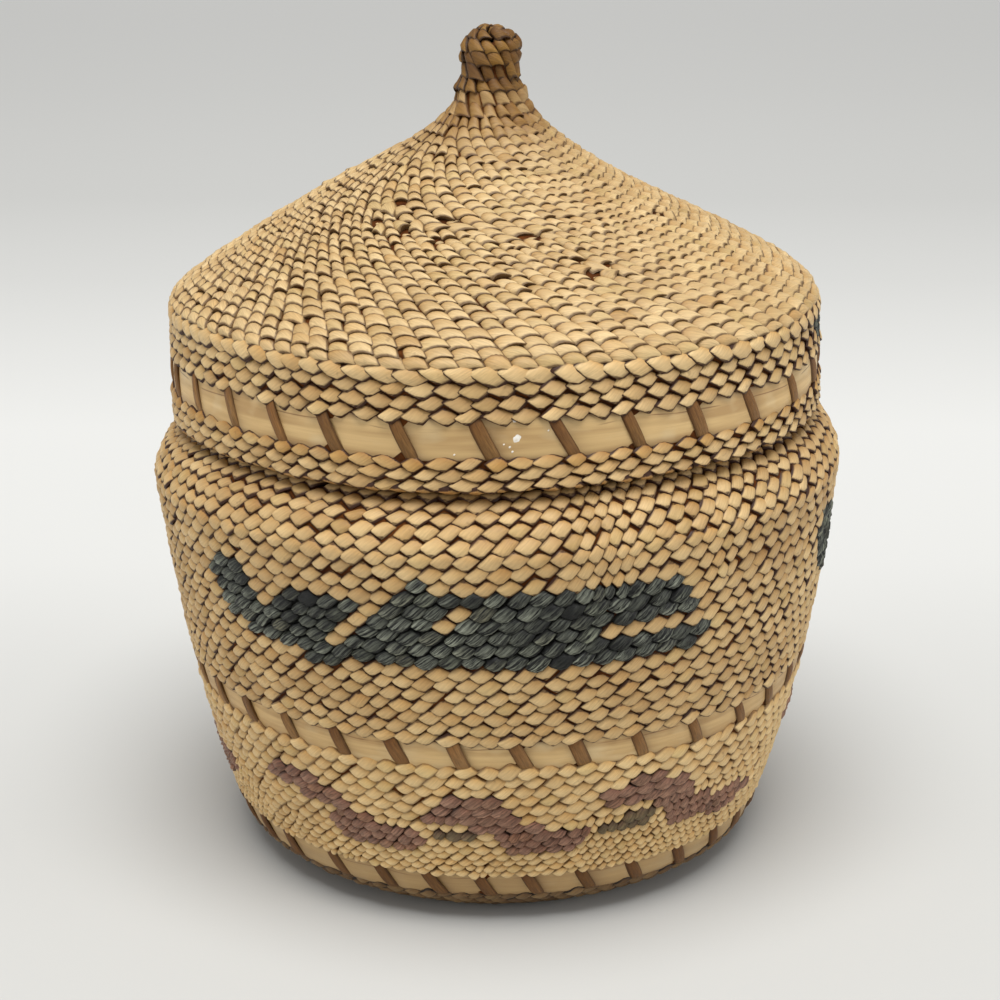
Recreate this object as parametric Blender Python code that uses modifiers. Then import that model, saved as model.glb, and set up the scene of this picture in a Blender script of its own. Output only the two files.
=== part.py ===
"""Small round twined basket with a fitted, knobbed lid.

The object stands on the floor at z = 0, centred on the Z axis, in metres.
A plaited mat of bark strips lies in a twined foot. The wall is woven in
sections, and where two sections meet a flat strip runs round the basket
behind slanting warps that cross it. The lid has the same build, sits over
the neck on the shoulder, and lifts straight off.
"""

import math

import bmesh
import bpy
from mathutils import Matrix

MM = 0.001

# Fits between pieces
GAP = 0.3 * MM
NECK_CLEARANCE = 1.6 * MM
TUCK = 0.4 * MM

# Weave
WALL = 2.4 * MM
CROSSING_THICKNESS = 0.5 * MM
CROSSING_WIDTH = 1.2 * MM
CROSSING_LEAN = 0.55
STRIP_THICKNESS = 0.5 * MM
BINDING_ROW = 1.4 * MM

# Basket
FOOT_RADIUS = 30.2 * MM
FOOT_DRAW = 3.2 * MM
FOOT_ROUNDNESS = 1.6
FOOT_FLANGE = 4.5 * MM
FOOT_FLANGE_THICKNESS = 1.2 * MM
SHOULDER_RADIUS = 40.0 * MM
SHOULDER_HEIGHT = 46.3 * MM
SHOULDER_RISE = 5.6 * MM
WALL_STRAIGHTNESS = 0.51
BASE_BAND_BOTTOM = 3.75 * MM
BASE_BAND_HEIGHT = 2.8 * MM
BASE_CROSSINGS = 35
BASE_CROSSING_TURN = math.radians(-2.5)
MIDDLE_BAND_BOTTOM = 21.5 * MM
MIDDLE_BAND_HEIGHT = 2.8 * MM
MIDDLE_CROSSINGS = 35
MIDDLE_CROSSING_TURN = math.radians(4.0)
NECK_WALL = 1.6 * MM
NECK_HEIGHT = 7.2 * MM
NECK_BINDING_HEIGHT = 1.6 * MM
NECK_BINDING_THICKNESS = 2.2 * MM

# Plaited base mat, whose outer strips keep a margin inside the round of the foot
MAT_STRIPS = 7
MAT_MARGIN = 1.9 * MM
MAT_STRIP_SPACE = 1.2 * MM
MAT_STRIP_THICKNESS = 0.5 * MM

# Lid
LID_RADIUS = 37.4 * MM
LID_RIM_HEIGHT = 1.2 * MM
LID_BAND_BOTTOM = 3.75 * MM
LID_BAND_HEIGHT = 3.65 * MM
LID_CROSSINGS = 30
LID_CROSSING_TURN = math.radians(-1.5)
LID_SHOULDER_RISE = 13.0 * MM
LID_SHOULDER_DRAW = 0.5 * MM
CONE_RISE = 16.3 * MM
CONE_TOP_RADIUS = 10.0 * MM
CONE_SWELL = 2.1 * MM
CONE_SWELL_ONSET = 0.6
CONE_SWELL_FADE = 0.7
FLARE_RISE = 6.7 * MM
FINIAL_SEAT_RISE = 3.5 * MM
FINIAL_NECK_RADIUS = 4.0 * MM
FINIAL_RADIUS = 3.3 * MM
FINIAL_RISE = 6.9 * MM
FINIAL_TENON_RADIUS = 2.2 * MM
FINIAL_TENON_LENGTH = 4.0 * MM
CROWN_THICKNESS = 2.3 * MM

# Direction of the front, from which the first crossing warp of a band is turned
FRONT = -math.pi / 2

# Facets of the turned pieces
STEPS = 40
FINIAL_STEPS = 24

# Depths below the woven surface, from outside to inside
STRIP_FACE = CROSSING_THICKNESS + GAP
STRIP_BACK = STRIP_FACE + STRIP_THICKNESS
RECESS = STRIP_BACK + GAP

# Heights that follow from the sizes above
FOOT_ROUND_TOP = BASE_BAND_BOTTOM - BINDING_ROW - GAP
LEDGE = SHOULDER_HEIGHT + SHOULDER_RISE
LID_REST = LEDGE + GAP
LID_SHOULDER = LID_REST + LID_SHOULDER_RISE
CONE_TOP = LID_SHOULDER + CONE_RISE
FLARE_TOP = CONE_TOP + FLARE_RISE
FINIAL_SEAT = CONE_TOP + FINIAL_SEAT_RISE
NECK_RADIUS = LID_RADIUS - WALL - NECK_CLEARANCE
NECK_TOP = LEDGE + GAP + NECK_HEIGHT

STRAW = (0.60, 0.42, 0.22)
BARK = (0.22, 0.11, 0.045)
STRIP = (0.52, 0.37, 0.17)
DARK_BARK = (0.16, 0.08, 0.035)


def clear_scene():
    for item in list(bpy.data.objects):
        bpy.data.objects.remove(item, do_unlink=True)


def make_collection(name):
    group = bpy.data.collections.new(name)
    bpy.context.scene.collection.children.link(group)
    return group


def make_material(name, colour, roughness=0.6):
    material = bpy.data.materials.new(name)
    material.use_nodes = True
    shader = material.node_tree.nodes["Principled BSDF"]
    shader.inputs["Base Color"].default_value = (*colour, 1.0)
    shader.inputs["Roughness"].default_value = roughness
    shader.inputs["Metallic"].default_value = 0.0
    material.diffuse_color = (*colour, 1.0)
    return material


def make_empty(name, group, height=0.0, parent=None):
    """An empty on the basket's axis, at a height above the floor."""
    empty = bpy.data.objects.new(name, None)
    empty.empty_display_size = 5 * MM
    group.objects.link(empty)
    empty.location.z = height
    if parent is not None:
        empty.parent = parent
        empty.location.z = height - parent.location.z
    return empty


def add_piece(name, shape, group, parent, colour, roughness=0.6):
    """Makes a named piece of a bmesh, riding on a parent empty."""
    mesh = bpy.data.meshes.new(name)
    shape.to_mesh(mesh)
    shape.free()
    piece = bpy.data.objects.new(name, mesh)
    group.objects.link(piece)
    piece.parent = parent
    piece.data.materials.append(make_material(name, colour, roughness))
    return piece


def turn(name, profile, group, parent, colour, closed=True, steps=STEPS):
    """Turns a profile of (radius, height) points about the Z axis.

    The profile runs down the outer side, then up the inner one. Heights are
    above the floor, and the piece's origin is its parent's.
    """
    base = parent.location.z
    shape = bmesh.new()
    points = [shape.verts.new((radius, 0.0, height - base)) for radius, height in profile]
    for first, second in zip(points, points[1:]):
        shape.edges.new((first, second))
    if closed:
        shape.edges.new((points[-1], points[0]))
    piece = add_piece(name, shape, group, parent, colour)
    screw = piece.modifiers.new("Turned", "SCREW")
    screw.axis = "Z"
    screw.angle = math.tau
    screw.steps = steps
    screw.render_steps = steps
    screw.use_merge_vertices = True
    screw.merge_threshold = 0.01 * MM
    screw.use_smooth_shade = True
    return piece


def spaced(high, low, count):
    """Heights from high to low, both included."""
    return [high + (low - high) * step / (count - 1) for step in range(count)]


def wall_radius(height):
    """Outer radius of the woven wall, from the foot's round under the base band to the widest row."""
    share = min(height / SHOULDER_HEIGHT, 1.0)
    curved = 1.0 - (1.0 - share) ** 3
    growth = WALL_STRAIGHTNESS * share + (1.0 - WALL_STRAIGHTNESS) * curved
    drawn_in = FOOT_DRAW * max(1.0 - height / FOOT_ROUND_TOP, 0.0) ** FOOT_ROUNDNESS
    return FOOT_RADIUS + (SHOULDER_RADIUS - FOOT_RADIUS) * growth - drawn_in


def basket_radius(height):
    """Outer radius of the basket: the wall, then the shoulder drawing in to the lid's rim."""
    if height <= SHOULDER_HEIGHT:
        return wall_radius(height)
    share = (height - SHOULDER_HEIGHT) / SHOULDER_RISE
    drawn_in = SHOULDER_RADIUS - LID_RADIUS
    return SHOULDER_RADIUS - drawn_in * share ** 1.15


def lid_radius(height):
    """Outer radius of the lid, from its rim to the finial's neck."""
    if height <= LID_SHOULDER:
        share = (height - LID_REST) / LID_SHOULDER_RISE
        return LID_RADIUS - LID_SHOULDER_DRAW * share ** 3
    if height <= CONE_TOP:
        share = (height - LID_SHOULDER) / CONE_RISE
        edge = LID_RADIUS - LID_SHOULDER_DRAW
        swell = CONE_SWELL * math.sin(math.pi * share ** CONE_SWELL_ONSET)
        swell *= max(1.0 - share, 0.0) ** CONE_SWELL_FADE
        return edge + (CONE_TOP_RADIUS - edge) * share + swell
    share = min((height - CONE_TOP) / FLARE_RISE, 1.0)
    return FINIAL_NECK_RADIUS + (CONE_TOP_RADIUS - FINIAL_NECK_RADIUS) * (1.0 - share) ** 1.9


def outside(curve, high, low, count, depth=0.0):
    """Points down a curve, at a depth below its surface."""
    return [(curve(height) - depth, height) for height in spaced(high, low, count)]


def inside(curve, high, low, count):
    """Points up the inner face of a wall."""
    return list(reversed(outside(curve, high, low, count, WALL)))


def recess_of(bottom, height):
    """Lowest and highest point of the recess that a band and its binding rows sit in."""
    margin = BINDING_ROW + GAP
    return bottom - margin, bottom + height + margin


def band_ring(name, curve, bottom, height, group, parent):
    """The flat strip that runs round behind the crossing warps."""
    low = bottom - TUCK
    high = bottom + height + TUCK
    profile = outside(curve, high, low, 2, STRIP_FACE)
    profile += reversed(outside(curve, high, low, 2, STRIP_BACK))
    return turn(name, profile, group, parent, STRIP)


def crossing_warps(name, curve, bottom, height, count, turned, group, parent, cutters):
    """Two binding rows joined by slanting warps that cross the band."""
    top = bottom + height
    channel_low = bottom - TUCK - GAP
    channel_high = top + TUCK + GAP
    high = top + BINDING_ROW
    low = bottom - BINDING_ROW
    profile = outside(curve, high, low, 2)
    profile += reversed(outside(curve, channel_low, low, 2, STRIP_BACK))
    profile += reversed(outside(curve, channel_high, channel_low, 2, CROSSING_THICKNESS))
    profile += reversed(outside(curve, high, channel_high, 2, STRIP_BACK))
    piece = turn(name, profile, group, parent, BARK)
    middle = bottom + height / 2
    windows = window_cutter(name + "_windows", curve(middle), middle, height, count, turned, cutters)
    cut = piece.modifiers.new("Windows", "BOOLEAN")
    cut.operation = "DIFFERENCE"
    cut.solver = "EXACT"
    cut.object = windows
    return piece


def window_cutter(name, radius, middle, height, count, turned, cutters):
    """Slanted boxes that leave one warp between each pair of windows."""
    pitch = math.tau * radius / count
    width = pitch - CROSSING_WIDTH * math.hypot(1.0, CROSSING_LEAN)
    reach = 2 * (STRIP_FACE + GAP)
    shape = bmesh.new()
    for number in range(count):
        made = bmesh.ops.create_cube(shape, size=1.0)["verts"]
        bmesh.ops.scale(shape, vec=(reach, width, height), verts=made)
        for vertex in made:
            vertex.co.y -= CROSSING_LEAN * vertex.co.z
        angle = FRONT + turned + math.tau * (number + 0.5) / count
        place = Matrix.Rotation(angle, 4, "Z") @ Matrix.Translation((radius, 0.0, middle))
        bmesh.ops.transform(shape, matrix=place, verts=made)
    mesh = bpy.data.meshes.new(name)
    shape.to_mesh(mesh)
    shape.free()
    cutter = bpy.data.objects.new(name, mesh)
    cutter.hide_render = True
    cutter.display_type = "WIRE"
    cutters.objects.link(cutter)
    return cutter


def foot_twining(group, parent):
    """The twined foot, with a flange that the plaited mat lies on."""
    top = BASE_BAND_BOTTOM + BASE_BAND_HEIGHT / 2 - GAP / 2
    inner = wall_radius(FOOT_FLANGE_THICKNESS) - WALL - FOOT_FLANGE
    profile = outside(wall_radius, top, FOOT_ROUND_TOP, 2, RECESS)
    profile += outside(wall_radius, FOOT_ROUND_TOP, 0.0, 4)
    profile.append((inner, 0.0))
    profile.append((inner, FOOT_FLANGE_THICKNESS))
    profile.append((wall_radius(FOOT_FLANGE_THICKNESS) - WALL, FOOT_FLANGE_THICKNESS))
    profile.append((wall_radius(top) - WALL, top))
    return turn("foot_twining", profile, group, parent, STRAW)


def lower_wall(group, parent):
    """The wall between the base band and the middle band."""
    low = BASE_BAND_BOTTOM + BASE_BAND_HEIGHT / 2 + GAP / 2
    high = MIDDLE_BAND_BOTTOM + MIDDLE_BAND_HEIGHT / 2 - GAP / 2
    _, step_low = recess_of(BASE_BAND_BOTTOM, BASE_BAND_HEIGHT)
    step_high, _ = recess_of(MIDDLE_BAND_BOTTOM, MIDDLE_BAND_HEIGHT)
    profile = outside(wall_radius, high, step_high, 2, RECESS)
    profile += outside(wall_radius, step_high, step_low, 4)
    profile += outside(wall_radius, step_low, low, 2, RECESS)
    profile += inside(wall_radius, high, low, 4)
    return turn("lower_wall", profile, group, parent, STRAW)


def upper_wall(group, parent):
    """The wall from the middle band over the shoulder to the ledge under the lid."""
    low = MIDDLE_BAND_BOTTOM + MIDDLE_BAND_HEIGHT / 2 + GAP / 2
    _, step_low = recess_of(MIDDLE_BAND_BOTTOM, MIDDLE_BAND_HEIGHT)
    inner = NECK_RADIUS - NECK_WALL
    profile = [(inner, LEDGE), (LID_RADIUS - GAP, LEDGE)]
    profile += outside(basket_radius, LEDGE - GAP, SHOULDER_HEIGHT, 4)
    profile += outside(basket_radius, SHOULDER_HEIGHT, step_low, 6)[1:]
    profile += outside(basket_radius, step_low, low, 2, RECESS)
    profile += inside(wall_radius, SHOULDER_HEIGHT - WALL, low, 5)
    profile.append((inner, LEDGE - WALL))
    return turn("upper_wall", profile, group, parent, STRAW)


def neck(group, parent):
    """The collar inside the lid, standing on the shoulder's ledge."""
    low = LEDGE + GAP
    inner = NECK_RADIUS - NECK_WALL
    profile = [(NECK_RADIUS, NECK_TOP), (NECK_RADIUS, low), (inner, low), (inner, NECK_TOP)]
    return turn("neck", profile, group, parent, STRAW)


def neck_binding(group, parent):
    """The bound edge of the mouth, standing on the neck."""
    low = NECK_TOP + GAP
    high = low + NECK_BINDING_HEIGHT
    round_off = NECK_BINDING_HEIGHT / 4
    outer = NECK_RADIUS
    inner = NECK_RADIUS - NECK_BINDING_THICKNESS
    profile = [
        (outer - round_off, high),
        (outer, high - round_off),
        (outer, low),
        (inner, low),
        (inner, high - round_off),
        (inner + round_off, high),
    ]
    return turn("neck_binding", profile, group, parent, DARK_BARK)


def lid_rim(group, parent):
    """The bound lower edge of the lid."""
    high = LID_REST + LID_RIM_HEIGHT
    inner = LID_RADIUS - WALL
    profile = [(LID_RADIUS, high), (LID_RADIUS, LID_REST), (inner, LID_REST), (inner, high)]
    return turn("lid_rim", profile, group, parent, STRAW)


def lid_skirt(group, parent):
    """The lid's side below its band."""
    bottom = LID_REST + LID_BAND_BOTTOM
    low = LID_REST + LID_RIM_HEIGHT + GAP
    high = bottom + LID_BAND_HEIGHT / 2 - GAP / 2
    step, _ = recess_of(bottom, LID_BAND_HEIGHT)
    profile = outside(lid_radius, high, step, 2, RECESS)
    profile += outside(lid_radius, step, low, 2)
    profile += inside(lid_radius, high, low, 2)
    return turn("lid_skirt", profile, group, parent, STRAW)


def lid_crown(group, parent):
    """The lid's side above its band, its cone and the flare under the finial."""
    bottom = LID_REST + LID_BAND_BOTTOM
    low = bottom + LID_BAND_HEIGHT / 2 + GAP / 2
    _, step = recess_of(bottom, LID_BAND_HEIGHT)
    hole = FINIAL_TENON_RADIUS + GAP
    profile = [(hole, FINIAL_SEAT)]
    profile += outside(lid_radius, FINIAL_SEAT, CONE_TOP, 4)
    profile += outside(lid_radius, CONE_TOP, LID_SHOULDER, 7)[1:]
    profile += outside(lid_radius, LID_SHOULDER, step, 3)[1:]
    profile += outside(lid_radius, step, low, 2, RECESS)
    profile.append((lid_radius(low) - WALL, low))
    profile.append((LID_RADIUS - WALL - LID_SHOULDER_DRAW, LID_SHOULDER - CROWN_THICKNESS / 2))
    ceiling = spaced(LID_SHOULDER + CROWN_THICKNESS, CONE_TOP, 3)
    profile += [(lid_radius(height), height - CROWN_THICKNESS) for height in ceiling]
    profile.append((hole, CONE_TOP))
    return turn("lid_crown", profile, group, parent, STRAW)


def finial(group, parent):
    """The knob, with a tenon that plugs the top of the crown."""
    low = FINIAL_SEAT + GAP
    top = FLARE_TOP + FINIAL_RISE
    dome = FINIAL_RADIUS
    rise = min(dome * 0.8, FINIAL_RISE * 0.5)
    profile = []
    for step in range(4):
        angle = math.pi / 2 * (1.0 - step / 4)
        profile.append((dome * math.cos(angle), top - rise + rise * math.sin(angle)))
    profile.append((dome, top - rise))
    profile.append((FINIAL_NECK_RADIUS, FLARE_TOP))
    profile += outside(lid_radius, (FLARE_TOP + low) / 2, low, 2)
    profile.append((FINIAL_TENON_RADIUS, low))
    profile.append((FINIAL_TENON_RADIUS, low - FINIAL_TENON_LENGTH))
    profile[0] = (0.0, top)
    profile.append((0.0, low - FINIAL_TENON_LENGTH))
    return turn("finial", profile, group, parent, STRAW, closed=False, steps=FINIAL_STEPS)


def mat_reach():
    """Radius of the round that the mat fills inside the foot."""
    return wall_radius(FOOT_FLANGE_THICKNESS) - WALL - GAP


def mat_strip(name, number, across, group, parent, disc):
    """One bark strip of the base mat, passing over and under those that cross it."""
    middle = (MAT_STRIPS - 1) / 2
    pitch = (2 * (mat_reach() - MAT_MARGIN) + MAT_STRIP_SPACE) / MAT_STRIPS
    width = pitch - MAT_STRIP_SPACE
    rise = (MAT_STRIP_THICKNESS + GAP) / 2
    offset = (number - middle) * pitch
    path = [(-(middle + 1) * pitch, rise if (number + across) % 2 else -rise)]
    for crossed in range(MAT_STRIPS):
        level = rise if (number + crossed + across) % 2 else -rise
        centre = (crossed - middle) * pitch
        path.append((centre - width / 2, level))
        path.append((centre + width / 2, level))
    path.append(((middle + 1) * pitch, path[-1][1]))
    shape = bmesh.new()
    edge = offset - width / 2
    points = [shape.verts.new((along, edge, level)) for along, level in path]
    line = [shape.edges.new(pair) for pair in zip(points, points[1:])]
    grown = bmesh.ops.extrude_edge_only(shape, edges=line)["geom"]
    side = [item for item in grown if isinstance(item, bmesh.types.BMVert)]
    bmesh.ops.translate(shape, vec=(0.0, width, 0.0), verts=side)
    bmesh.ops.recalc_face_normals(shape, faces=shape.faces)
    strip = add_piece(name, shape, group, parent, BARK, 0.7)
    floor = FOOT_FLANGE_THICKNESS + GAP
    strip.location.z = floor + rise + MAT_STRIP_THICKNESS / 2
    strip.rotation_euler.z = math.pi / 2 * across
    thick = strip.modifiers.new("Thickness", "SOLIDIFY")
    thick.thickness = MAT_STRIP_THICKNESS
    thick.offset = 0.0
    trim = strip.modifiers.new("Round", "BOOLEAN")
    trim.operation = "INTERSECT"
    trim.solver = "EXACT"
    trim.object = disc
    return strip


def base_mat(group, parent, cutters):
    """The plaited mat: strips both ways, trimmed to the round of the foot."""
    reach = mat_reach()
    shape = bmesh.new()
    bmesh.ops.create_cone(
        shape,
        cap_ends=True,
        segments=STEPS,
        radius1=reach,
        radius2=reach,
        depth=4 * FOOT_FLANGE_THICKNESS + 8 * MAT_STRIP_THICKNESS,
    )
    mesh = bpy.data.meshes.new("mat_round")
    shape.to_mesh(mesh)
    shape.free()
    disc = bpy.data.objects.new("mat_round", mesh)
    disc.hide_render = True
    disc.display_type = "WIRE"
    cutters.objects.link(disc)
    for number in range(MAT_STRIPS):
        mat_strip(f"mat_strip_long_{number + 1}", number, 0, group, parent, disc)
        mat_strip(f"mat_strip_cross_{number + 1}", number, 1, group, parent, disc)


def main():
    clear_scene()
    group = make_collection("lidded_basket")
    cutters = make_collection("cutters")
    basket = make_empty("basket", group)
    lid = make_empty("lid", group, LID_REST, basket)

    base_mat(group, basket, cutters)
    foot_twining(group, basket)
    base = (wall_radius, BASE_BAND_BOTTOM, BASE_BAND_HEIGHT)
    band_ring("base_band", *base, group, basket)
    crossing_warps("base_band_warps", *base, BASE_CROSSINGS, BASE_CROSSING_TURN, group, basket, cutters)
    lower_wall(group, basket)
    middle = (wall_radius, MIDDLE_BAND_BOTTOM, MIDDLE_BAND_HEIGHT)
    band_ring("middle_band", *middle, group, basket)
    crossing_warps(
        "middle_band_warps", *middle, MIDDLE_CROSSINGS, MIDDLE_CROSSING_TURN, group, basket, cutters
    )
    upper_wall(group, basket)
    neck(group, basket)
    neck_binding(group, basket)

    lid_rim(group, lid)
    lid_skirt(group, lid)
    side = (lid_radius, LID_REST + LID_BAND_BOTTOM, LID_BAND_HEIGHT)
    band_ring("lid_band", *side, group, lid)
    crossing_warps("lid_band_warps", *side, LID_CROSSINGS, LID_CROSSING_TURN, group, lid, cutters)
    lid_crown(group, lid)
    finial(group, lid)
    bpy.context.view_layer.update()


main()
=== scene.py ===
"""Looks for a small twined basket with a fitted cone lid: stitches, bands, crossing warps, linings and stage."""

import math

import bpy
import numpy as np
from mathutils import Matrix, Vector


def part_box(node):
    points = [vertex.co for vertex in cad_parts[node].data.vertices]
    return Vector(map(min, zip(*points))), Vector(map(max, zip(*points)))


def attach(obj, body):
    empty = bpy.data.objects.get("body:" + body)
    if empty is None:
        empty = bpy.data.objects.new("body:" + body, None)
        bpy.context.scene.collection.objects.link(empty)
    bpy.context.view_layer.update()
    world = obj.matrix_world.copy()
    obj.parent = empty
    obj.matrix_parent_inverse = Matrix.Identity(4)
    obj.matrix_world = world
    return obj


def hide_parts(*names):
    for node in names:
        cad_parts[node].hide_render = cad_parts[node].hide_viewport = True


bl_info = {
    "name": "Twined Lidded Basket",
    "version": (1, 0, 0),
    "blender": (4, 5, 0),
    "location": "View3D > Sidebar > Basket",
    "description": "Weaves a small wrapped-twined basket and its lid over the packed frame",
    "category": "Object",
}

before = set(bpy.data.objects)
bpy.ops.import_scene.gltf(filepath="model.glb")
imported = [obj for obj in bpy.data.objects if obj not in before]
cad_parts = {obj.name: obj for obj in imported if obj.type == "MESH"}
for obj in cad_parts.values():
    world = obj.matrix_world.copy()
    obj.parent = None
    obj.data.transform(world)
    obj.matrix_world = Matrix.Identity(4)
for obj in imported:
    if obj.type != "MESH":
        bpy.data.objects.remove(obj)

MM = 0.001
FULL_TURN = 2 * math.pi
FRONT = -math.pi / 2

# Heights and radii, in millimetres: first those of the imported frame, then those of the forms between them.
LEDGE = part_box("upper_wall")[1].z / MM
LID_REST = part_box("lid_rim")[0].z / MM
SHOULDER_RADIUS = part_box("upper_wall")[1].x / MM
LID_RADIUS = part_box("lid_rim")[1].x / MM
NECK_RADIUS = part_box("neck")[1].x / MM
NECK_LOW, NECK_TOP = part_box("neck")[0].z / MM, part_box("neck")[1].z / MM
NECK_INSIDE = 31.8
FOOT_RADIUS = 30.2
FOOT_ROUNDING, FOOT_ROUND_TOP = 3.7, 3.7
WALL_STRAIGHTNESS = 0.51
WALL_THICKNESS = 2.4
SHOULDER_HEIGHT = 46.3
LEDGE_UNDERCUT, UNDERCUT_HEIGHT = 2.0, 2.6
SKIRT_TAPER = 0.5
LID_SHOULDER = 65.2
CONE_TOP, CONE_SWELL = 81.5, 2.1
FLARE_TOP, FLARE_RADIUS = 88.2, 10.0
KNOB_RADIUS = 4.0


def srgb(red, green, blue):
    """A colour as a paint chart gives it, 0 to 255, turned into the linear values that shaders take."""
    values = []
    for part in (red, green, blue):
        share = part / 255
        values.append(share / 12.92 if share <= 0.04045 else ((share + 0.055) / 1.055) ** 2.4)
    return (*values, 1.0)


def even_turns(count):
    """Angles of this many places, evenly round the basket."""
    return np.linspace(0, FULL_TURN, count, endpoint=False)


def nearest_turn(angle):
    """The same angle, as a turn of at most half round to either side."""
    return (angle + math.pi) % FULL_TURN - math.pi


def smooth(value, low, high):
    """A soft step from 0 at low to 1 at high."""
    share = np.clip((value - low) / (high - low), 0, 1)
    return share * share * (3 - 2 * share)


# ---- forms that the stitches follow


class Line:
    """A line of (radius, height) points in millimetres, read by its length from the first point."""

    REACH = 0.4

    def __init__(self, points):
        self.points = np.array(points, float)
        steps = np.hypot(*np.diff(self.points, axis=0).T)
        self.run = np.concatenate(([0.0], np.cumsum(steps)))
        self.length = self.run[-1]

    def at(self, along):
        """Radius and height at a length along the line."""
        return tuple(np.interp(along, self.run, self.points[:, k]) for k in (0, 1))

    def outward(self, along):
        """The direction off the surface, as its parts in radius and height."""
        near = np.clip(np.asarray(along, float) - self.REACH, 0, self.length - 2 * self.REACH)
        r0, z0 = self.at(near)
        r1, z1 = self.at(near + 2 * self.REACH)
        length = np.maximum(np.hypot(r1 - r0, z1 - z0), 1e-6)
        return (z1 - z0) / length, -(r1 - r0) / length

    def place(self, along, turn, depth):
        """Points in millimetres at a length along the line, an angle in radians and a height above the surface."""
        over = np.asarray(along, float) - np.clip(along, 0, self.length)
        radius, height = self.at(along)
        out_r, out_z = self.outward(along)
        radius = radius + out_r * depth - out_z * over
        height = height + out_z * depth + out_r * over
        return np.stack([radius * np.cos(turn), radius * np.sin(turn), height], -1)

    def along_height(self, height):
        """Length at which the line first passes this height."""
        z = self.points[:, 1]
        k = int(np.argmax(z >= height - 1e-9))
        if k == 0:
            return 0.0
        share = (height - z[k - 1]) / max(z[k] - z[k - 1], 1e-9)
        return self.run[k - 1] + share * (self.run[k] - self.run[k - 1])


def wall_radius(height):
    """The wall bulges out from its rounded foot to the shoulder, and is drawn in again under the ledge."""
    if height > SHOULDER_HEIGHT:
        share = min((height - SHOULDER_HEIGHT) / (LEDGE - SHOULDER_HEIGHT), 1.0)
        undercut = LEDGE_UNDERCUT * max((height - LEDGE + UNDERCUT_HEIGHT) / UNDERCUT_HEIGHT, 0.0) ** 1.4
        return SHOULDER_RADIUS - (SHOULDER_RADIUS - LID_RADIUS) * share**1.15 - undercut
    share = max(height, 0.0) / SHOULDER_HEIGHT
    growth = WALL_STRAIGHTNESS * share + (1 - WALL_STRAIGHTNESS) * (1 - (1 - share) ** 3)
    rounding = FOOT_ROUNDING * max(1 - height / FOOT_ROUND_TOP, 0.0) ** 1.5
    return FOOT_RADIUS + (SHOULDER_RADIUS - FOOT_RADIUS) * growth - rounding


def lid_radius(height):
    """The lid's side tapers a little, its cone swells in the middle, and the flare narrows into the knob."""
    if height <= LID_SHOULDER:
        return LID_RADIUS - SKIRT_TAPER * (max(height - LID_REST, 0.0) / (LID_SHOULDER - LID_REST)) ** 3
    if height <= CONE_TOP:
        edge = LID_RADIUS - SKIRT_TAPER
        share = (height - LID_SHOULDER) / (CONE_TOP - LID_SHOULDER)
        swell = CONE_SWELL * math.sin(math.pi * share**0.6) * max(1 - share, 0.0) ** 0.7
        return edge + (FLARE_RADIUS - edge) * share + swell
    share = min((height - CONE_TOP) / (FLARE_TOP - CONE_TOP), 1.0)
    return KNOB_RADIUS + (FLARE_RADIUS - KNOB_RADIUS) * (1 - share) ** 1.9


def profile(radius_at, low, high, count, depth=0.0):
    """Points of a form between two heights, this far inside its surface."""
    return [(radius_at(z) - depth, z) for z in np.linspace(low, high, count)]


WALL = Line(
    profile(wall_radius, 0.0, LEDGE - 0.4, 140)
    + [(LID_RADIUS - 2.2, LEDGE - 0.1), (LID_RADIUS - 2.8, LEDGE - 0.05), (NECK_RADIUS, LEDGE)]
)
FLANGE = Line([(23.05, 1.1), (23.1, 0.35), (23.4, 0.2), (26.6, 0.2)])
NECK = Line([(NECK_RADIUS, NECK_LOW), (NECK_RADIUS, NECK_TOP)])
MOUTH = Line([
    (33.35, 59.7), (33.4, 60.3), (33.2, 60.9), (32.8, 61.2), (32.3, 61.28), (31.8, 61.2), (31.4, 60.9),
    (31.2, 60.3), (31.25, 59.7),
])
RIM = Line([
    (35.0, 53.6), (35.0, 52.7), (35.2, 52.4), (35.7, 52.3), (36.7, 52.3), (37.1, 52.35), (37.35, 52.55),
    (37.4, 52.9),
])
SKIRT = Line(profile(lid_radius, LID_REST, LID_SHOULDER, 60))
RIDGE = Line([
    (LID_RADIUS - 0.4, 63.8), (LID_RADIUS - 0.3, 64.6), (LID_RADIUS - 0.5, 65.3), (LID_RADIUS - 1.1, 65.8),
    (LID_RADIUS - 2.0, 66.1),
])
KNOB_LINE = [
    (3.5, 88.8), (3.25, 89.6), (3.25, 90.6), (3.35, 91.8), (3.25, 92.9), (2.75, 93.8), (1.9, 94.5), (1.0, 94.85),
    (0.1, 94.95),
]
CROWN = Line(profile(lid_radius, LID_SHOULDER + 0.01, FLARE_TOP, 160) + KNOB_LINE)
# Inner faces run upward too; stitches on them are laid towards the axis.
INSIDE = Line(profile(wall_radius, 2.7, 43.9, 60, WALL_THICKNESS) + [(NECK_INSIDE, 49.5), (NECK_INSIDE, NECK_TOP)])
CEILING = Line(
    [(35.0, 53.6), (34.6, 64.1), (34.4, 65.2)]
    + [(lid_radius(z), z - 2.3) for z in np.linspace(68.0, CONE_TOP, 12)]
    + [(2.6, 81.4)]
)

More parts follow.
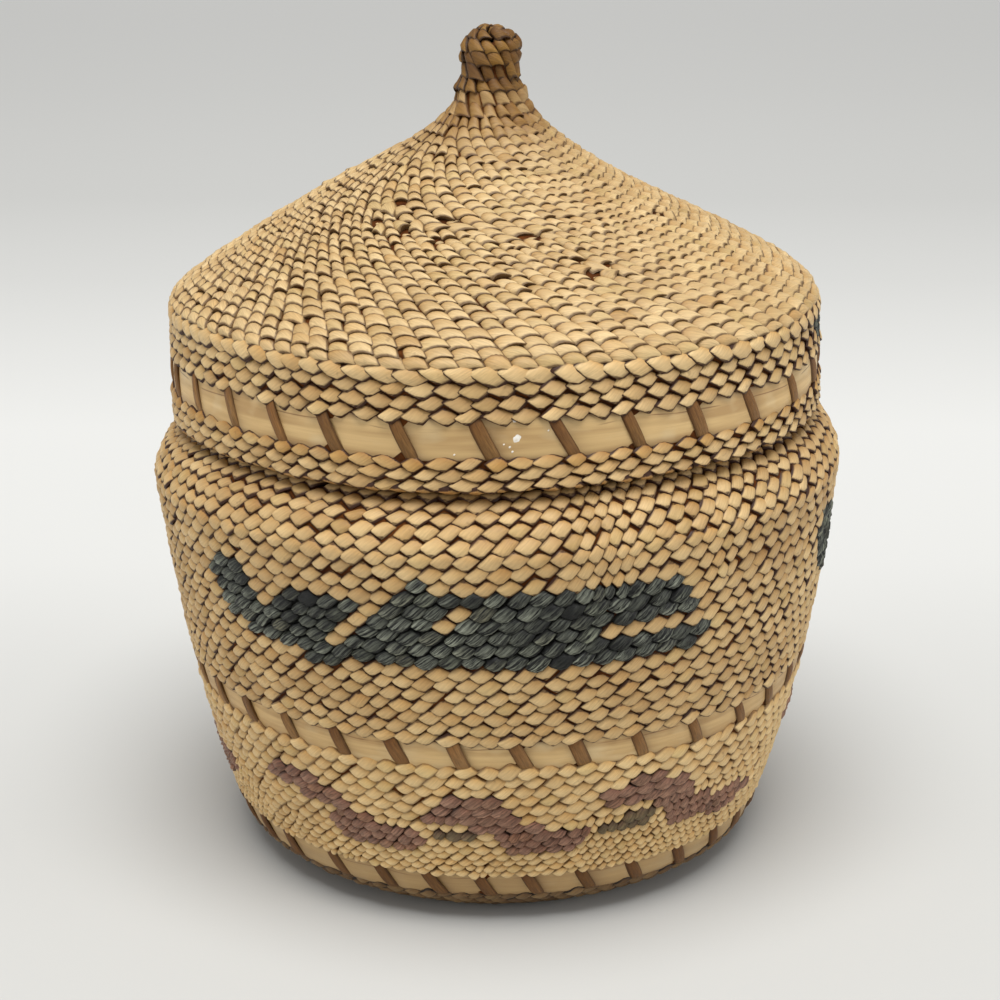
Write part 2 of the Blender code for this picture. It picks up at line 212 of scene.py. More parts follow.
# The bands: their heights, how many warps cross them, and where the warps seen in front do, in degrees from the
# front; the others share the rest of the round evenly. A pair gives how far painted shade darkens the strip in
# front, and over how many radians that fades.
BANDS = {
    "base_band": {
        "body": "basket", "line": WALL, "low": 3.75, "high": 6.55, "warps": 35, "deepened": (0.8, 9.0),
        "seen": (-46.9, -33.7, -22.7, -12.5, -2.5, 7.0, 17.8, 28.5, 40.1, 51.4),
    },
    "middle_band": {
        "body": "basket", "line": WALL, "low": 21.5, "high": 24.3, "warps": 35, "deepened": (0.1, 9.0),
        "seen": (-37.5, -27.1, -16.8, -6.3, 4.0, 14.0, 24.8, 36.3, 48.0),
    },
    "lid_band": {
        "body": "lid", "line": SKIRT, "low": 55.95, "high": 59.6, "warps": 30, "deepened": (0.5, 0.5),
        "seen": (-48.6, -37.4, -26.7, -14.1, -1.4, 11.0, 22.6, 34.8, 47.4, 60.5),
    },
}
CROSSING_LEAN = 0.5


def band_edge(name, edge):
    """Length along its line at which a band's low or high edge lies."""
    return BANDS[name]["line"].along_height(BANDS[name][edge])


def crossing_turns(name, end=0.0):
    """Angles at which a band's crossing warps pass its middle, its top (end 1) or its bottom (end -1)."""
    band = BANDS[name]
    low, high, seen = band["low"], band["high"], band["seen"]
    rest = np.linspace(seen[-1], seen[0] + 360, band["warps"] - len(seen) + 2)[1:-1]
    radius = float(band["line"].at(band["line"].along_height((low + high) / 2))[0])
    return np.radians(np.concatenate((seen, rest))) + FRONT - end * CROSSING_LEAN * ((high - low) / 2 + 0.5) / radius


def settle(points):
    """Hand-made unevenness that every piece shares: a wall that isn't round, waves in the rows and a slight lean."""
    x, y, z = points.T
    turn, radius = np.arctan2(y, x), np.hypot(x, y)
    high, outer = np.clip(z / 12.0, 0, 1), np.clip(radius / 20, 0, 1)
    out_of_round = 0.22 * np.sin(3 * turn + 0.9) + 0.16 * np.sin(5 * turn - 0.6 + z / 14)
    waves = 0.22 * np.sin(2 * turn + 0.5) + 0.13 * np.sin(5 * turn + 1.7)
    right_side_up = 0.9 * np.cos(turn) * outer * smooth(z, 30, 46) * (1 - 0.5 * smooth(z, 52, 62))
    wall_lean = -0.3 * np.clip(z / 50, 0, 1)
    lid_lean = -0.45 * np.clip((z - 52) / 43, 0, 1)
    cone_lean = -1.95 * np.exp(-(((z - 77) / 5.9) ** 2))
    radius = radius + out_of_round * high * outer
    height = z + high * waves * outer + right_side_up
    lean = wall_lean + lid_lean + cone_lean
    return np.stack([radius * np.cos(turn) + lean, radius * np.sin(turn), np.maximum(height, 0.03)], -1)


# ---- meshes


def make_piece(name, laid, body, finish_name, nodes, sharp=48):
    """One mesh in metres from points in millimetres; its values are numbers or vectors stored on its points.
    Edges that fold by more degrees than sharp stay crisp."""
    points, faces = settle(laid["points"]), laid["faces"]
    mesh = bpy.data.meshes.new(name)
    sizes = np.concatenate([np.full(len(group), group.shape[1], np.int32) for group in faces])
    corners = np.concatenate([group.ravel() for group in faces]).astype(np.int32)
    mesh.vertices.add(len(points))
    mesh.vertices.foreach_set("co", (points * MM).astype(np.float32).ravel())
    mesh.loops.add(len(corners))
    mesh.loops.foreach_set("vertex_index", corners)
    mesh.polygons.add(len(sizes))
    mesh.polygons.foreach_set("loop_start", np.concatenate(([0], np.cumsum(sizes)[:-1])).astype(np.int32))
    mesh.polygons.foreach_set("loop_total", sizes)
    mesh.polygons.foreach_set("use_smooth", np.ones(len(sizes), bool))
    mesh.update(calc_edges=True)
    for key, value in laid.get("values", {}).items():
        kind, field = ("FLOAT", "value") if value.ndim == 1 else ("FLOAT_VECTOR", "vector")
        mesh.attributes.new(key, kind, "POINT").data.foreach_set(field, value.astype(np.float32).ravel())
    if sharp is not None:
        mesh.set_sharp_from_angle(angle=math.radians(sharp))
    if mesh.validate():
        raise RuntimeError(f"{name} has faces that are not sound")
    mesh.materials.append(finish(finish_name))
    piece = bpy.data.objects.new(name, mesh)
    bpy.context.scene.collection.objects.link(piece)
    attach(piece, body)
    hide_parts(*nodes)
    return piece


# How far out the two points of a strand's under side lie, as a share of half its width.
UNDER_WIDTH = 0.8


def both_ways(*shares):
    """Shares of the way out from the middle, laid out on both sides of it."""
    return [-share for share in reversed(shares) if share] + list(shares)


def strand_pattern(stations, tops, corner=8.0, pointed=0.0):
    """A closed pad on a unit square with rounded corners: rings of top points and two under points, and two ends.
    Corner says how square its corners stay, and pointed how far two of them run out."""
    ring = len(tops) + 2
    p = np.append(np.repeat(stations, ring), (-1, 1))
    q = np.append(np.tile(tops + [UNDER_WIDTH, -UNDER_WIDTH], len(stations)), (0, 0))
    under = np.append(np.tile([0.0] * len(tops) + [1.0, 1.0], len(stations)), (0.5, 0.5))
    narrow = np.maximum(1 - np.abs(p) ** corner, 0) ** (1 / corner)
    quads, ends = [], []
    top_ring = (len(stations) - 1) * ring
    first, last = top_ring + ring, top_ring + ring + 1
    for j in range(ring):
        k = (j + 1) % ring
        for i in range(len(stations) - 1):
            quads.append((i * ring + j, i * ring + k, (i + 1) * ring + k, (i + 1) * ring + j))
        ends.append((first, k, j))
        ends.append((top_ring + j, top_ring + k, last))
    return {
        "p": p, "q": q, "under": under, "narrow": narrow, "slide": pointed * np.sign(p) * (1 - narrow),
        "quads": np.array(quads), "ends": np.array(ends),
    }


LEAF_LENGTH, LEAF_WIDTH = both_ways(0.0, 0.5, 0.88, 0.985), both_ways(0.0, 0.42, 0.86, 1)
LEAF = strand_pattern(LEAF_LENGTH, LEAF_WIDTH, 11.0, 0.8)
RIDGE_LEAF = strand_pattern(LEAF_LENGTH, LEAF_WIDTH, 5.0, 0.8)
BEAD = strand_pattern(both_ways(0.2, 0.56, 0.84, 0.99), LEAF_WIDTH, 9.0)
ROUGH_LEAF = strand_pattern(both_ways(0.3, 0.8, 0.98), both_ways(0.0, 0.16, 0.33, 0.5, 0.66, 0.83, 1), 3.6, 0.6)
PLAIN_LEAF = strand_pattern(both_ways(0.5, 0.96), both_ways(0.0, 1))
STRIP = strand_pattern(both_ways(0.2, 0.55, 0.8, 0.998), both_ways(0.0, 0.3, 0.6, 0.85, 1), 30.0)

# How a strand stands on the surface, in millimetres: its thickness, how far its ends (arch), its sides (crown) and
# its very edge fall away, and how far one end (tilt) or side (roll) stands above the other. Round says how full the
# arch is, ridges run along it, slant turns its fibres, bow bends it, and the last gives the end and side that lie
# under the next strands, which take painted shade.
EVEN_RELIEF = {
    "thickness": 0.6, "arch": 0.2, "crown": 0.22, "edge": 0.14, "tilt": 0.1, "roll": 0.04, "round": 2.6,
    "ridge": 0.0, "ridges": 2.0, "slant": 0.0, "bow": 0.0, "tuck_shade": (1.0, -0.35),
}
# Beads of the lid's top lie in ropes: round across, each with its lower edge over the next one.
ROPE = {
    "arch": 0.36, "round": 2.2, "crown": 0.06, "edge": 0.06, "tilt": -0.13, "roll": 0.11, "bow": 0.46,
    "slant": -0.7, "tuck_shade": (-0.3, -0.8),
}
DARK_RELIEF = {"ridge": 0.14, "ridges": 3.1, "arch": 0.34, "crown": 0.5}
MAUVE_RELIEF = {"ridge": 0.11, "ridges": 2.9, "arch": 0.22, "crown": 0.3}
SKIRT_RELIEF = {"tilt": 0.2, "roll": 0.03, "arch": 0.08}
WRAP_RELIEF = {
    "thickness": 0.45, "arch": 0.05, "crown": 0.14, "tilt": 0.0, "roll": 0.06, "ridge": 0.03, "ridges": 3.4,
}
WARP_RELIEF = {
    "thickness": 0.5, "arch": 0.3, "crown": 0.12, "tilt": 0.0, "roll": 0.03, "ridge": 0.04, "ridges": 3.6,
}

# Powers that shape a strand's sides, its very edge and the painted shade of its tucked end; how far its crease
# strays from the middle and drifts along it; its least thickness, how deep its ends go, and how far apart two
# strands' fibres are taken.
SIDE_CURVE, EDGE_CURVE, TUCK_SHADE_CURVE = 2.6, 9, 1.6
CREASE_MOST, CREASE_DRIFT = 0.6, 0.35
LEAST_THICKNESS, END_DEPTH = 0.15, 0.2
FIBRE_JUMP = 37.0
SMALLEST_RADIUS = 1.2


def lay_strands(line, spots, pattern=LEAF, side=1, **changes):
    """Small closed strands on a surface. Each spot has a turn, a place along the line, and its two half-edges."""
    relief = {**EVEN_RELIEF, **changes}
    spot = {key: value[:, None] for key, value in spots.items() if value.ndim == 1}
    p, flat, under = (pattern[key][None, :] for key in ("p", "q", "under"))
    each = np.ones((len(spots["turn"]), p.size))

    crease = np.clip(spot["crease"] + CREASE_DRIFT * p, -CREASE_MOST, CREASE_MOST)
    q = flat + (1 - np.abs(flat)) * crease * (under < 0.1)
    bent = q * pattern["narrow"] + pattern["slide"] - relief["bow"] * (1 - p * p)
    across = spots["e1"][:, :1] * p + spots["e2"][:, :1] * bent
    along = spots["e1"][:, 1:] * p + spots["e2"][:, 1:] * bent

    rise = spot["lift"] - relief["tilt"] * p + relief["roll"] * q
    rise = rise - relief["arch"] * np.abs(p) ** relief["round"] - relief["crown"] * np.abs(q) ** SIDE_CURVE
    rise = rise - relief["edge"] * np.maximum(np.abs(p), np.abs(q)) ** EDGE_CURVE
    rise = rise - spot["fold"] * np.abs(q - crease) * (1 - 0.5 * p * p)
    if relief["ridge"]:
        wave = np.cos(np.pi * relief["ridges"] * q + spot["phase"] + 0.9 * p)
        rise = rise + relief["ridge"] * wave * (1 - np.abs(p) ** 4)
    base = np.minimum(rise - LEAST_THICKNESS, -relief["thickness"])
    depth = np.where(under > 0.6, base, np.where(under > 0.1, rise - END_DEPTH, rise))
    radius, _ = line.at(spots["along"])
    turn = spot["turn"] + across / np.maximum(radius, SMALLEST_RADIUS)[:, None]
    points = line.place((spot["along"] + along).ravel(), turn.ravel(), side * depth.ravel())

    offsets = (np.arange(len(each)) * p.size)[:, None, None]
    faces = [(pattern[key][None] + offsets).reshape(-1, size) for key, size in (("quads", 4), ("ends", 3))]
    if side < 0:
        faces = [group[:, ::-1] for group in faces]

    # How near a strand's edge a point lies, for the painted shade at its edges; its under side is wholly shaded.
    rim = np.where(under > 0.1, 1.0, np.maximum(np.abs(p) ** 4, np.abs(flat) ** SIDE_CURVE) * each)
    # Painted shade on the end and side that lie under the next strands.
    end, edge = relief["tuck_shade"]
    tuck_shade = np.clip(0.5 + 0.5 * (end * p + edge * flat), 0, 1) ** TUCK_SHADE_CURVE * each
    length, width = (np.hypot(*spots[key].T)[:, None] for key in ("e1", "e2"))
    cos, sin = math.cos(relief["slant"]), math.sin(relief["slant"])
    grain = (
        length * p * cos - width * q * sin,
        length * p * sin + width * q * cos,
        FIBRE_JUMP * spot["key"] * each,
    )
    values = {"grain": np.stack(grain, -1).reshape(-1, 3), "rim": rim.ravel(), "tuck_shade": tuck_shade.ravel()}
    for key in ("tone", "key", "stain"):
        values[key] = (spot[key] * each).ravel()
    return {"points": points, "faces": faces, "values": values}


def join_parts(*parts):
    """Several laid groups as one set of points, faces and values."""
    starts = np.cumsum([0] + [len(part["points"]) for part in parts[:-1]])
    return {
        "points": np.concatenate([part["points"] for part in parts]),
        "faces": [group + start for part, start in zip(parts, starts) for group in part["faces"]],
        "values": {key: np.concatenate([part["values"][key] for part in parts]) for key in parts[0]["values"]},
    }


def pick(spots, mask):
    """The spots that a mask chooses."""
    return {key: value[mask] for key, value in spots.items()}


def ring_quads(around, size):
    """Faces of a closed outline of this size that is carried round a full turn."""
    i, j = np.arange(around)[:, None], np.arange(size)[None]
    after, beside = (i + 1) % around, (j + 1) % size
    return np.stack([i * size + j, after * size + j, after * size + beside, i * size + beside], -1).reshape(-1, 4)


# ---- rows of stitches

# How unevenly stitches lie, as shares of their step, in radians and in millimetres; how their tones spread; and how
# often and how much the columns of a row are evened out.
PLACE_JITTER, SWING_JITTER, LIFT_JITTER = 0.05, 0.06, 0.03
TONE_MIDDLE, TONE_SPREAD = 0.5, 0.2
EVENINGS, EVENING = 2, 0.3
# Lift, swing and size of the three beads of a rough place: the one that sinks and the two that stand up.
RUFFLED = ((-0.35, 0.5, 0.6), (0.16, -0.4, 1.1), (0.1, 0.35, 1.0))
# The stitches that hold the ends of a band's crossing warps: how far they stand up, and for each edge of a band
# their half-edges, tone and stain.
GRIP_LIFT = 0.1
GRIPS = {
    ("middle_band", "low"): ((0.95, 0.55), (0.62, -0.6), 0.2, 0.0),
    ("middle_band", "high"): ((0.95, 0.6), (0.7, -0.5), 0.2, 0.0),
    ("lid_band", "low"): ((0.72, 0.5), (0.66, -0.58), 0.5, 0.8),
    ("lid_band", "high"): ((0.85, 0.66), (0.82, -0.42), 0.05, 0.0),
}


def change_columns(turns, wanted, rng):
    """Opens the widest gaps between columns, or closes the narrowest, until the row has as many as are wanted."""
    turns = np.sort(turns)
    while len(turns) != wanted:
        gaps = np.diff(np.append(turns, turns[0] + FULL_TURN))
        weight = gaps * rng.uniform(0.9, 1.1, len(gaps))
        if len(turns) > wanted:
            k = int(np.argmin(weight))
            middle = turns[k] + gaps[k] / 2
            turns = np.delete(turns, (k + 1) % len(turns))
            turns[min(k, len(turns) - 1)] = middle
        else:
            k = int(np.argmax(weight))
            turns = np.insert(turns, k + 1, turns[k] + gaps[k] / 2)
        turns = np.sort(turns)
    return turns


def woven_rows(line, start, heights, count_of, first_turns, shift, rng, up=1, end_turn=None):
    """Spots for rows that follow the line. Columns drift sideways by a share of their width in each row; where the
    form narrows or widens, columns end or begin, and the ones next to them close up. The count of a row is a
    number, or a function of its radius and its place among the rows."""
    turns = np.array(first_turns, float)
    shifts = np.broadcast_to(shift, len(heights))
    drift = 0.0
    if end_turn is not None:
        gap = FULL_TURN / len(turns)
        total = -up * shifts[:-1].sum() * gap
        drift = ((end_turn - turns[0] - total + gap / 2) % gap - gap / 2) / (len(heights) - 1)
    rows = []
    along = start
    for row, height in enumerate(heights):
        middle = along + up * height / 2
        radius = max(float(line.at(middle)[0]), SMALLEST_RADIUS)
        turns = change_columns(turns, count_of(radius, row) if callable(count_of) else count_of, rng)
        for _ in range(EVENINGS):
            before, after = np.roll(turns, 1), np.roll(turns, -1)
            before[0] -= FULL_TURN
            after[-1] += FULL_TURN
            turns = turns + EVENING * ((before + after) / 2 - turns)
        gaps = (after - before) / 2
        same = {"along": middle, "height": height, "row": row, "shift": shifts[row], "radius": radius}
        rows.append({"turn": turns, "pitch": gaps * radius, **{k: v * np.ones(len(turns)) for k, v in same.items()}})
        turns = turns - up * shifts[row] * gaps + drift
        along += up * height
    spots = {key: np.concatenate([group[key] for group in rows]) for key in rows[0]}
    count = len(spots["turn"])
    spots["turn"] = spots["turn"] + rng.normal(0, PLACE_JITTER, count) * spots["pitch"] / spots["radius"]
    spots["along"] = spots["along"] + rng.normal(0, PLACE_JITTER, count) * spots["height"]
    return spots


def swung(edge, cos, sin):
    """A half-edge turned on the surface."""
    x, y = edge[..., 0], edge[..., 1]
    return np.stack([x * cos - y * sin, x * sin + y * cos], -1)


def shape_stitches(spots, edges, rng, lift=0.08, wobble=0.07):
    """Gives each spot the two half-edges of its leaf, as shares of the column and row steps around it."""
    count = len(spots["turn"])
    back = -spots["shift"] * spots["pitch"]
    scales = rng.normal(1, wobble, (2, count))
    turn = rng.normal(0, SWING_JITTER, count)
    for key, (columns, rows), scale in zip(("e1", "e2"), edges, scales):
        edge = np.stack([columns * spots["pitch"] + rows * back, rows * spots["height"]], -1) / 2 * scale[:, None]
        spots[key] = swung(edge, np.cos(turn), np.sin(turn))
    return finish_spots(spots, rng, lift, fold=0.09)


def finish_spots(spots, rng, lift, fold):
    """The small differences of each strand: its lift, its fold, its tone and where its fibres begin."""
    count = len(spots["turn"])
    spots.update(
        lift=lift + rng.normal(0, LIFT_JITTER, count),
        tone=np.clip(rng.normal(TONE_MIDDLE, TONE_SPREAD, count), 0, 1),
        key=rng.uniform(0, 1, count),
        phase=rng.uniform(-1, 1, count),
        fold=rng.normal(fold, fold, count),
        crease=rng.uniform(-0.5, 0.5, count),
        stain=np.zeros(count),
    )
    return spots


def even_strips(rng, line, count, lean, width):
    """Spots for strips that run the whole length of a line, side by side round the basket."""
    each = np.ones(count)
    spots = {
        "turn": even_turns(count) + rng.normal(0, 0.003, count),
        "along": each * line.length / 2,
        "e1": np.stack([-lean * each, line.length / 2 * each], -1),
        "e2": np.stack([width * rng.normal(1, 0.05, count), 0.1 * each], -1),
    }
    return finish_spots(spots, rng, lift=0.02, fold=0.02)


def columns_from(turns, per_crossing=3):
    """Column angles with this many to each crossing warp."""
    after = np.append(turns[1:], turns[0] + FULL_TURN)
    return np.sort(np.concatenate([turns + k * (after - turns) / per_crossing for k in range(per_crossing)]))


def stretch_heights(shares, length):
    """Row heights in these shares that together fill a length."""
    shares = np.asarray(shares, float)
    return shares * length / shares.sum()


def weave_from(name, edge, heights, count_of, shift, rng, edges, end_turn=None, **shape):
    """Rows that start at a band's low or high edge, with larger and prouder stitches in the first one, where they
    hold the ends of the band's crossing warps."""
    up = 1 if edge == "high" else -1
    held, line = crossing_turns(name, up), BANDS[name]["line"]
    spots = woven_rows(line, band_edge(name, edge), heights, count_of, columns_from(held), shift, rng, up, end_turn)
    shape_stitches(spots, edges, rng, **shape)
    if (name, edge) in GRIPS:
        members = np.flatnonzero(spots["row"] == 0)
        apart = nearest_turn(spots["turn"][members][None] - held[:, None])
        chosen = members[np.argmin(np.abs(apart), axis=1)]
        spots["lift"][chosen] += GRIP_LIFT
        for key, value in zip(("e1", "e2", "tone", "stain"), GRIPS[name, edge]):
            spots[key][chosen] = value
    return spots


def ruffle(spots, line, places):
    """Disturbs the beads at a few places: one sinks and leaves a hole, and the two beside it stand up and turn."""
    radius, _ = line.at(spots["along"])
    for degrees, height in places:
        aside = nearest_turn(spots["turn"] - math.radians(degrees) - FRONT)
        near = np.argsort(np.hypot(aside * radius, spots["along"] - line.along_height(height)))
        for k, (lift, angle, size) in zip(near, RUFFLED):
            spots["lift"][k] += lift
            for key in ("e1", "e2"):
                spots[key][k] = swung(spots[key][k], math.cos(angle) * size, math.sin(angle) * size)


# ---- figures, as outlines in degrees from the front and millimetres up the wall

WHALE = [
    (-48.9, 42.4), (-42.6, 42.4), (-40.0, 39.0), (-36.8, 38.7), (-34.3, 41.2), (-31.6, 41.9), (-22.5, 41.7),
    (-22.0, 40.4), (-26.6, 38.2), (-25.4, 36.2), (-22.8, 36.8), (-17.8, 40.8), (-11.7, 44.1), (-9.0, 43.3),
    (-0.4, 43.6), (16.9, 43.2), (25.5, 43.2), (29.8, 43.9), (32.2, 40.4), (34.3, 38.9), (35.4, 37.1),
    (32.7, 35.0), (-4.6, 34.7), (-13.3, 34.4), (-18.7, 34.0), (-24.1, 33.8), (-29.5, 33.7), (-40.5, 34.6),
    (-46.6, 35.6), (-47.8, 37.2), (-50.4, 38.6), (-53.4, 39.8),
]
WHALE_GAPS = [
    [(-9.9, 38.4), (-8.6, 38.3), (-5.0, 41.0), (-6.3, 41.3)],
    [(15.8, 39.6), (18.4, 39.6), (18.4, 41.2), (15.8, 41.2)],
    [(17.4, 37.4), (34.8, 37.0), (34.8, 38.5), (17.4, 38.6)],
]
WAVES = [
    [(-46.0, 16.4), (-42.0, 17.9), (-33.7, 17.8), (-29.4, 16.7), (-27.6, 15.3), (-22.0, 13.6), (-14.4, 13.2),
     (-11.7, 12.4), (-13.0, 11.2), (-17.6, 10.2), (-29.4, 10.7), (-31.6, 12.0), (-30.6, 13.6), (-32.8, 15.0),
     (-44.0, 15.3)],
    [(-13.3, 15.0), (-12.3, 16.8), (-9.0, 17.6), (-4.6, 18.5), (1.2, 18.3), (4.2, 15.4), (9.4, 13.9),
     (16.0, 13.9), (17.6, 12.2), (14.8, 10.8), (9.4, 10.2), (2.4, 10.4), (0.0, 12.4), (-3.6, 14.1), (-8.0, 14.9)],
    [(18.6, 15.9), (20.2, 18.2), (24.6, 18.9), (31.0, 18.9), (36.4, 17.1), (38.6, 15.0), (43.0, 13.9),
     (49.5, 13.2), (58.0, 12.8), (57.0, 11.0), (49.5, 10.6), (42.0, 11.0), (35.4, 11.0), (33.2, 13.2),
     (30.5, 15.0), (25.6, 15.7), (21.4, 15.0)],
]
OLIVE_SPOTS = [
    [(-10.5, 11.9), (-3.4, 11.9), (-3.4, 13.4), (-10.5, 13.4)],
    [(19.0, 12.2), (30.0, 13.0), (30.0, 14.4), (19.0, 13.6)],
]
# Marks on the lid's side, in degrees from the front and millimetres along it.
LID_MARKS = [
    [(-80.0, 9.2), (-73.0, 9.2), (-73.0, 13.0), (-80.0, 13.0)],
    [(74.0, 9.2), (81.0, 9.2), (81.0, 13.0), (74.0, 13.0)],
]


def inside(shapes, x, y):
    """True where points lie inside one of the closed outlines."""
    found = np.zeros(len(x), bool)
    for shape in shapes:
        hit = np.zeros(len(x), bool)
        for (x0, y0), (x1, y1) in zip(shape[-1:] + shape[:-1], shape):
            hit ^= ((y0 > y) != (y1 > y)) & (x < (x1 - x0) * (y - y0) / (y1 - y0 + 1e-12) + x0)
        found |= hit
    return found


def figures(spots):
    """Which wall stitches are dark, mauve or olive, with the figures three times round the basket."""
    degrees = np.degrees(spots["turn"] - FRONT)
    up = spots["along"] - band_edge("base_band", "low") + BANDS["base_band"]["low"]
    masks = {key: np.zeros(len(up), bool) for key in ("dark", "mauve", "olive")}
    for turned in (0.0, 120.0, -120.0):
        local = (degrees - turned + 180) % 360 - 180
        masks["dark"] |= inside([WHALE], local, up) & ~inside(WHALE_GAPS, local, up)
        masks["mauve"] |= inside(WAVES, local, up)
        masks["olive"] |= inside(OLIVE_SPOTS, local, up)
    masks["olive"] &= ~masks["mauve"]
    return masks


# ---- settings


def setting(kind, label, text, value, **more):
    """A number or colour that a user can change."""
    return getattr(bpy.props, f"{kind}Property")(name=label, description=text, default=value, **more)


def colour_setting(label, text, value):
    return setting("FloatVector", label, text, srgb(*value), subtype="COLOR", size=4, min=0, max=1)


class FormSettings(bpy.types.PropertyGroup):
    """How many stitches and rows, and how far they shift."""

    wall_columns: setting("Int", "Wall columns", "Stitches round the wall", 105, min=30)
    lid_columns: setting("Int", "Lid columns", "Stitches round the lid's side", 90, min=30)
    lower_rows: setting("Int", "Lower rows", "Rows between the two wall bands", 14, min=4)
    upper_rows: setting("Int", "Upper rows", "Rows from the middle band to the ledge", 21, min=6)
    wall_shift: setting("Float", "Wall shift", "Share of a stitch that a row moves sideways", 0.39, subtype="FACTOR")
    lid_shift: setting("Float", "Lid shift", "The same share on the lid", 0.43, subtype="FACTOR")
    seed: setting("Int", "Seed", "Starts the small differences between stitches", 7)


class ColourSettings(bpy.types.PropertyGroup):
    """Colours of the strands."""

    straw: colour_setting("Straw", "Pale grass stitches", (234, 203, 148))
    straw_deep: colour_setting("Deep straw", "Darker grass stitches", (198, 164, 112))
    # The edge colour also paints the shade at the edges between stitches.
    straw_edge: colour_setting("Straw edges", "Dark fibres and painted edge shade of the grass stitches", (54, 23, 0))
    golden: colour_setting("Golden", "Aged golden-brown stitches", (196, 152, 84))
    dark: colour_setting("Dark", "Dyed stitches of the figures", (182, 186, 166))
    olive: colour_setting("Olive", "Dyed stitches that have faded", (124, 112, 78))
    mauve: colour_setting("Mauve", "Faded red-brown stitches", (190, 148, 122))
    band: colour_setting("Band", "Flat strips in the bands", (222, 188, 130))
    bark: colour_setting("Bark", "Split bark of warps and mat", (172, 130, 80))


class StageSettings(bpy.types.PropertyGroup):
    """Camera and light."""

    lens: setting("Float", "Lens", "Focal length in millimetres", 75.0)
    camera_height: setting("Float", "Camera height", "Above the floor", 0.1162, unit="LENGTH")
    camera_back: setting("Float", "Camera distance", "From the axis", 0.2365, unit="LENGTH")
    lamp: setting("Float", "Top lamp", "Power of the soft lamp above", 12.3, unit="POWER")
    side_lamp: setting("Float", "Side lamps", "Power of the two low lamps", 1.4, unit="POWER")
    sky: setting("Float", "Surround", "Strength of the light all round", 0.42)


def palette():
    return bpy.context.scene.basket_colours


def form():
    return bpy.context.scene.basket_form


# ---- nodes


def node(tree, kind, **fields):
    """A new node with these fields set."""
    made = tree.nodes.new(kind)
    for key, value in fields.items():
        setattr(made, key, value)
    return made


def feed(tree, socket, value):
    """Links a socket to another one, or sets its value."""
    if isinstance(value, bpy.types.NodeSocket):
        tree.links.new(value, socket)
    else:
        socket.default_value = value


def mixed(tree, mode, factor, a, b):
    """Two colours mixed by a factor."""
    made = node(tree, "ShaderNodeMix", data_type="RGBA", blend_type=mode)
    for socket, value in zip((made.inputs[0], made.inputs[6], made.inputs[7]), (factor, a, b)):
        feed(tree, socket, value)
    return made.outputs[2]


def maths(tree, operation, a, b=0.0):
    """One sum of two values."""
    made = node(tree, "ShaderNodeMath", operation=operation)
    feed(tree, made.inputs[0], a)
    feed(tree, made.inputs[1], b)
    return made.outputs[0]


def scaled(tree, a, b):
    return maths(tree, "MULTIPLY", a, b)


def ranged(tree, value, low, high, out_low=0.0, out_high=1.0):
    """A value carried from one range to another."""
    made = node(tree, "ShaderNodeMapRange", clamp=True)
    names = ("Value", "From Min", "From Max", "To Min", "To Max")
    for key, number in zip(names, (value, low, high, out_low, out_high)):
        feed(tree, made.inputs[key], number)
    return made.outputs["Result"]


def touched(tree, colour, other, mask, low, high, most, mode="MIX"):
    """A colour that takes on another by up to this much, where a mask goes from low to high."""
    return mixed(tree, mode, ranged(tree, mask, low, high, 0.0, most), colour, other)


def noise(tree, vector, scale=1.0, detail=3.0, rough=0.5, stretch=None):
    """Soft noise, closer together along some directions than others where it is stretched."""
    if stretch is not None:
        longer = node(tree, "ShaderNodeVectorMath", operation="MULTIPLY")
        feed(tree, longer.inputs[0], vector)
        longer.inputs[1].default_value = stretch
        vector = longer.outputs[0]
    made = node(tree, "ShaderNodeTexNoise")
    for key, value in (("Vector", vector), ("Scale", scale), ("Detail", detail), ("Roughness", rough)):
        feed(tree, made.inputs[key], value)
    return made.outputs["Fac"]


def stored(tree, name, output="Fac"):
    """A value stored on the mesh."""
    return node(tree, "ShaderNodeAttribute", attribute_name=name).outputs[output]


def place_in_space(tree):
    return node(tree, "ShaderNodeTexCoord").outputs["Object"]


def surface(tree, shader, colour, roughness, height, strength, distance=0.1 * MM, level=0.5):
    """Feeds a shader its colour, roughness and bump, and sets its gloss level."""
    feed(tree, shader.inputs["Base Color"], colour)
    feed(tree, shader.inputs["Roughness"], roughness)
    shader.inputs["Specular IOR Level"].default_value = level
    relief = node(tree, "ShaderNodeBump")
    relief.inputs["Strength"].default_value = strength
    relief.inputs["Distance"].default_value = distance
    feed(tree, relief.inputs["Height"], height)
    feed(tree, shader.inputs["Normal"], relief.outputs["Normal"])


# ---- finishes

STRAND_COLOURS = ("Pale", "Deep", "Edge", "Stain", "Tucked shade")
STRAND_AMOUNTS = ("Fibre", "Edge shade", "Blotch", "Fibre scale")


